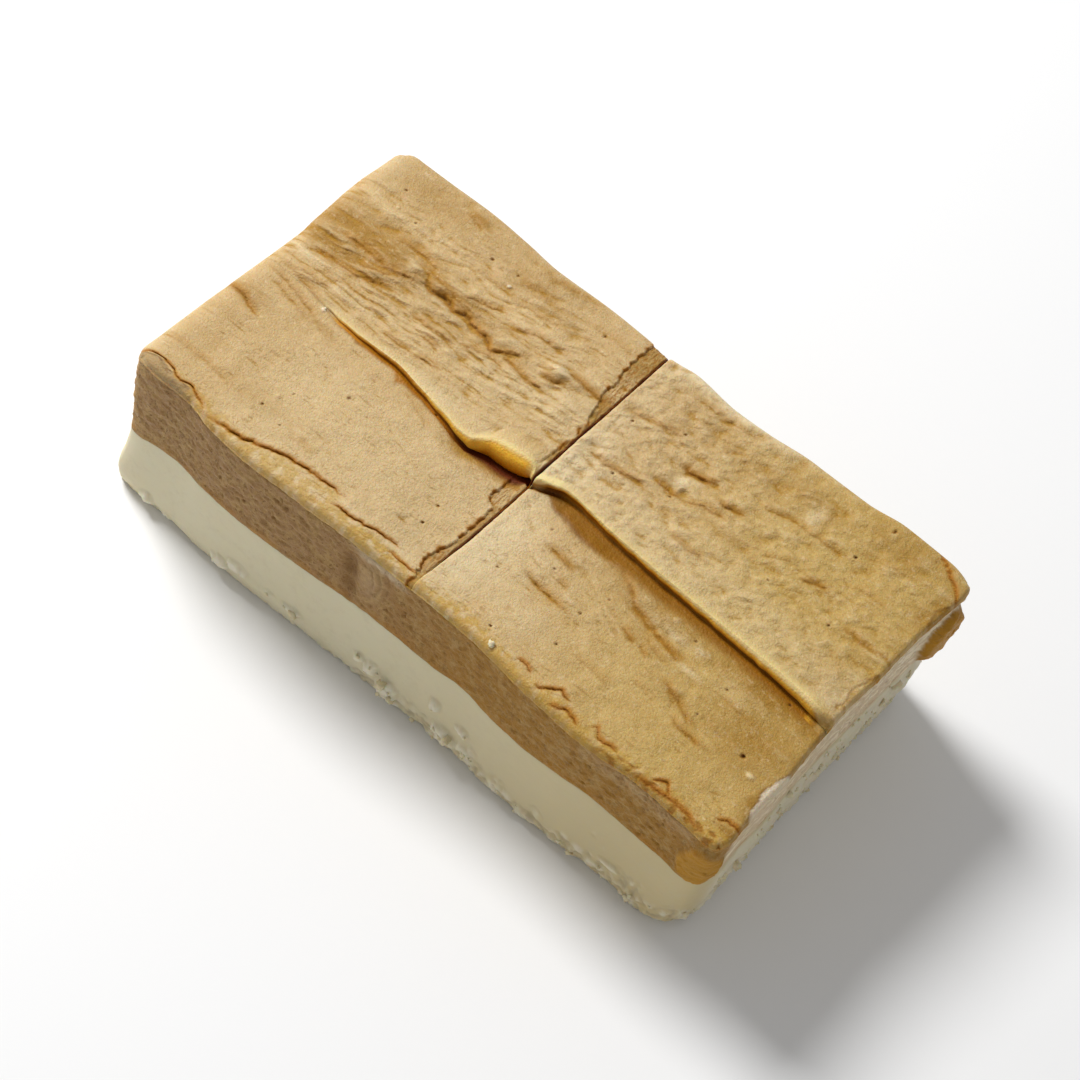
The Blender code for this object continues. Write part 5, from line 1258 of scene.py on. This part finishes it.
def crumb_places():
    """Where the crumbs cling: points of the cream's side drawn by how chalky it is there, three times as often
    on the front's right half as elsewhere, with their sizes drawn towards the small."""
    chance = np.random.default_rng(801)
    side = cream_rows[3:-5].reshape(-1, 3)
    around = cream_rows.shape[1]
    chalk = cream_marks["chalk"][3 * around:-5 * around - 2]
    x, y, z = side.T
    weight = chalk ** 1.5 * (0.3 + 0.9 * (y < 4) * ease(x, 38, 50)) * (z > 0.5)
    picked = chance.choice(len(side), CRUMB_COUNT, replace=False, p=weight / weight.sum())
    radii = CRUMB_SMALL + (CRUMB_LARGE - CRUMB_SMALL) * chance.random(CRUMB_COUNT) ** 4
    middles = side[picked] + outwards(cream_rows[3:-5]).reshape(-1, 3)[picked] * 0.05 * radii[:, None]
    middles[:, 2] = np.maximum(middles[:, 2], 1.2 * radii)
    skin_x, skin_y, skin_radii = np.array(SKIN_CRUMBS).T
    skin_z = top_height(skin_x, skin_y) - STEP_DOWN * along(skin_x, FOLD_STEP) - shoulder(skin_x, skin_y)[1]
    on_skin = np.stack([skin_x, skin_y, skin_z + 0.35 * skin_radii], -1)
    return np.concatenate([middles, on_skin]), np.concatenate([radii, skin_radii])


def crumb_paint(place):
    """Dry ivory, some crumbs yellower than others."""
    start = place.node("ShaderNodeMix", {"data_type": "RGBA"},
                       {0: place.grain(3.0), 6: (0.80, 0.71, 0.49, 1), 7: (0.70, 0.60, 0.38, 1)}, 2)
    colour = start.tint((0.56, 0.45, 0.26), place.grain(0.6, 3.0).step(0.52, 0.72) * 0.4)
    roughness = place.grain(1.0) * 0.15 + 0.6
    return colour, roughness


crumb_middles, crumb_radii = crumb_places()
crumbs = add_piece("cream_crumbs", *pebbles(crumb_middles, crumb_radii, 811),
                   fudge_material("dry_crumbs", crumb_paint, 0.25, 0.06, 0.2), {})


# ---- The floor, the light and the camera ----------------------------------------------------------------------
# A plain pale table, one large soft lamp from the left and behind, a pale sky, and the camera.

def floor_material():
    material = bpy.data.materials.new("pale_table")
    material.use_nodes = True
    shader = material.node_tree.nodes["Principled BSDF"]
    shader.inputs["Base Color"].default_value = (0.90, 0.90, 0.90, 1)
    shader.inputs["Roughness"].default_value = 0.7
    return material


low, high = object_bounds()
floor_mesh = bpy.data.meshes.new("table")
floor_mesh.from_pydata([(-3, -3, low.z), (3, -3, low.z), (3, 3, low.z), (-3, 3, low.z)], [], [(0, 1, 2, 3)])
floor_mesh.materials.append(floor_material())
table = bpy.data.objects.new("table", floor_mesh)
bpy.context.scene.collection.objects.link(table)

from mathutils import Matrix, Vector

KEY_TOWARDS = Vector((-0.69, 0.13, 0.75)).normalized()
key = bpy.data.lights.new("key", "AREA")
key.shape = "DISK"
key.size = 0.35
key.energy = 10.4
key_lamp = bpy.data.objects.new("key", key)
key_lamp.location = KEY_TOWARDS * 1.0
key_lamp.rotation_euler = KEY_TOWARDS.to_track_quat("Z", "Y").to_euler()
bpy.context.scene.collection.objects.link(key_lamp)

world = bpy.data.worlds.new("sky")
world.use_nodes = True
world.node_tree.nodes["Background"].inputs["Color"].default_value = (1.0, 1.0, 1.0, 1)
world.node_tree.nodes["Background"].inputs["Strength"].default_value = 0.36
bpy.context.scene.world = world
bpy.context.scene.view_settings.view_transform = "Standard"

RIGHTWARDS = Vector((0.76340326, 0.61539928, 0.19621209))
UPWARDS = Vector((-0.60894416, 0.58438423, 0.53636003))
FORWARDS = Vector((-0.21541232, 0.5289412, -0.82086463))
camera = bpy.data.cameras.new("camera")
camera.lens = 100.0
camera.sensor_width = 36.0
camera_object = bpy.data.objects.new("camera", camera)
camera_object.matrix_world = Matrix.Translation((0.097807, -0.238413, 0.385069)) @ Matrix(
    (RIGHTWARDS, UPWARDS, -FORWARDS)).transposed().to_4x4()
bpy.context.scene.collection.objects.link(camera_object)
bpy.context.scene.camera = camera_object
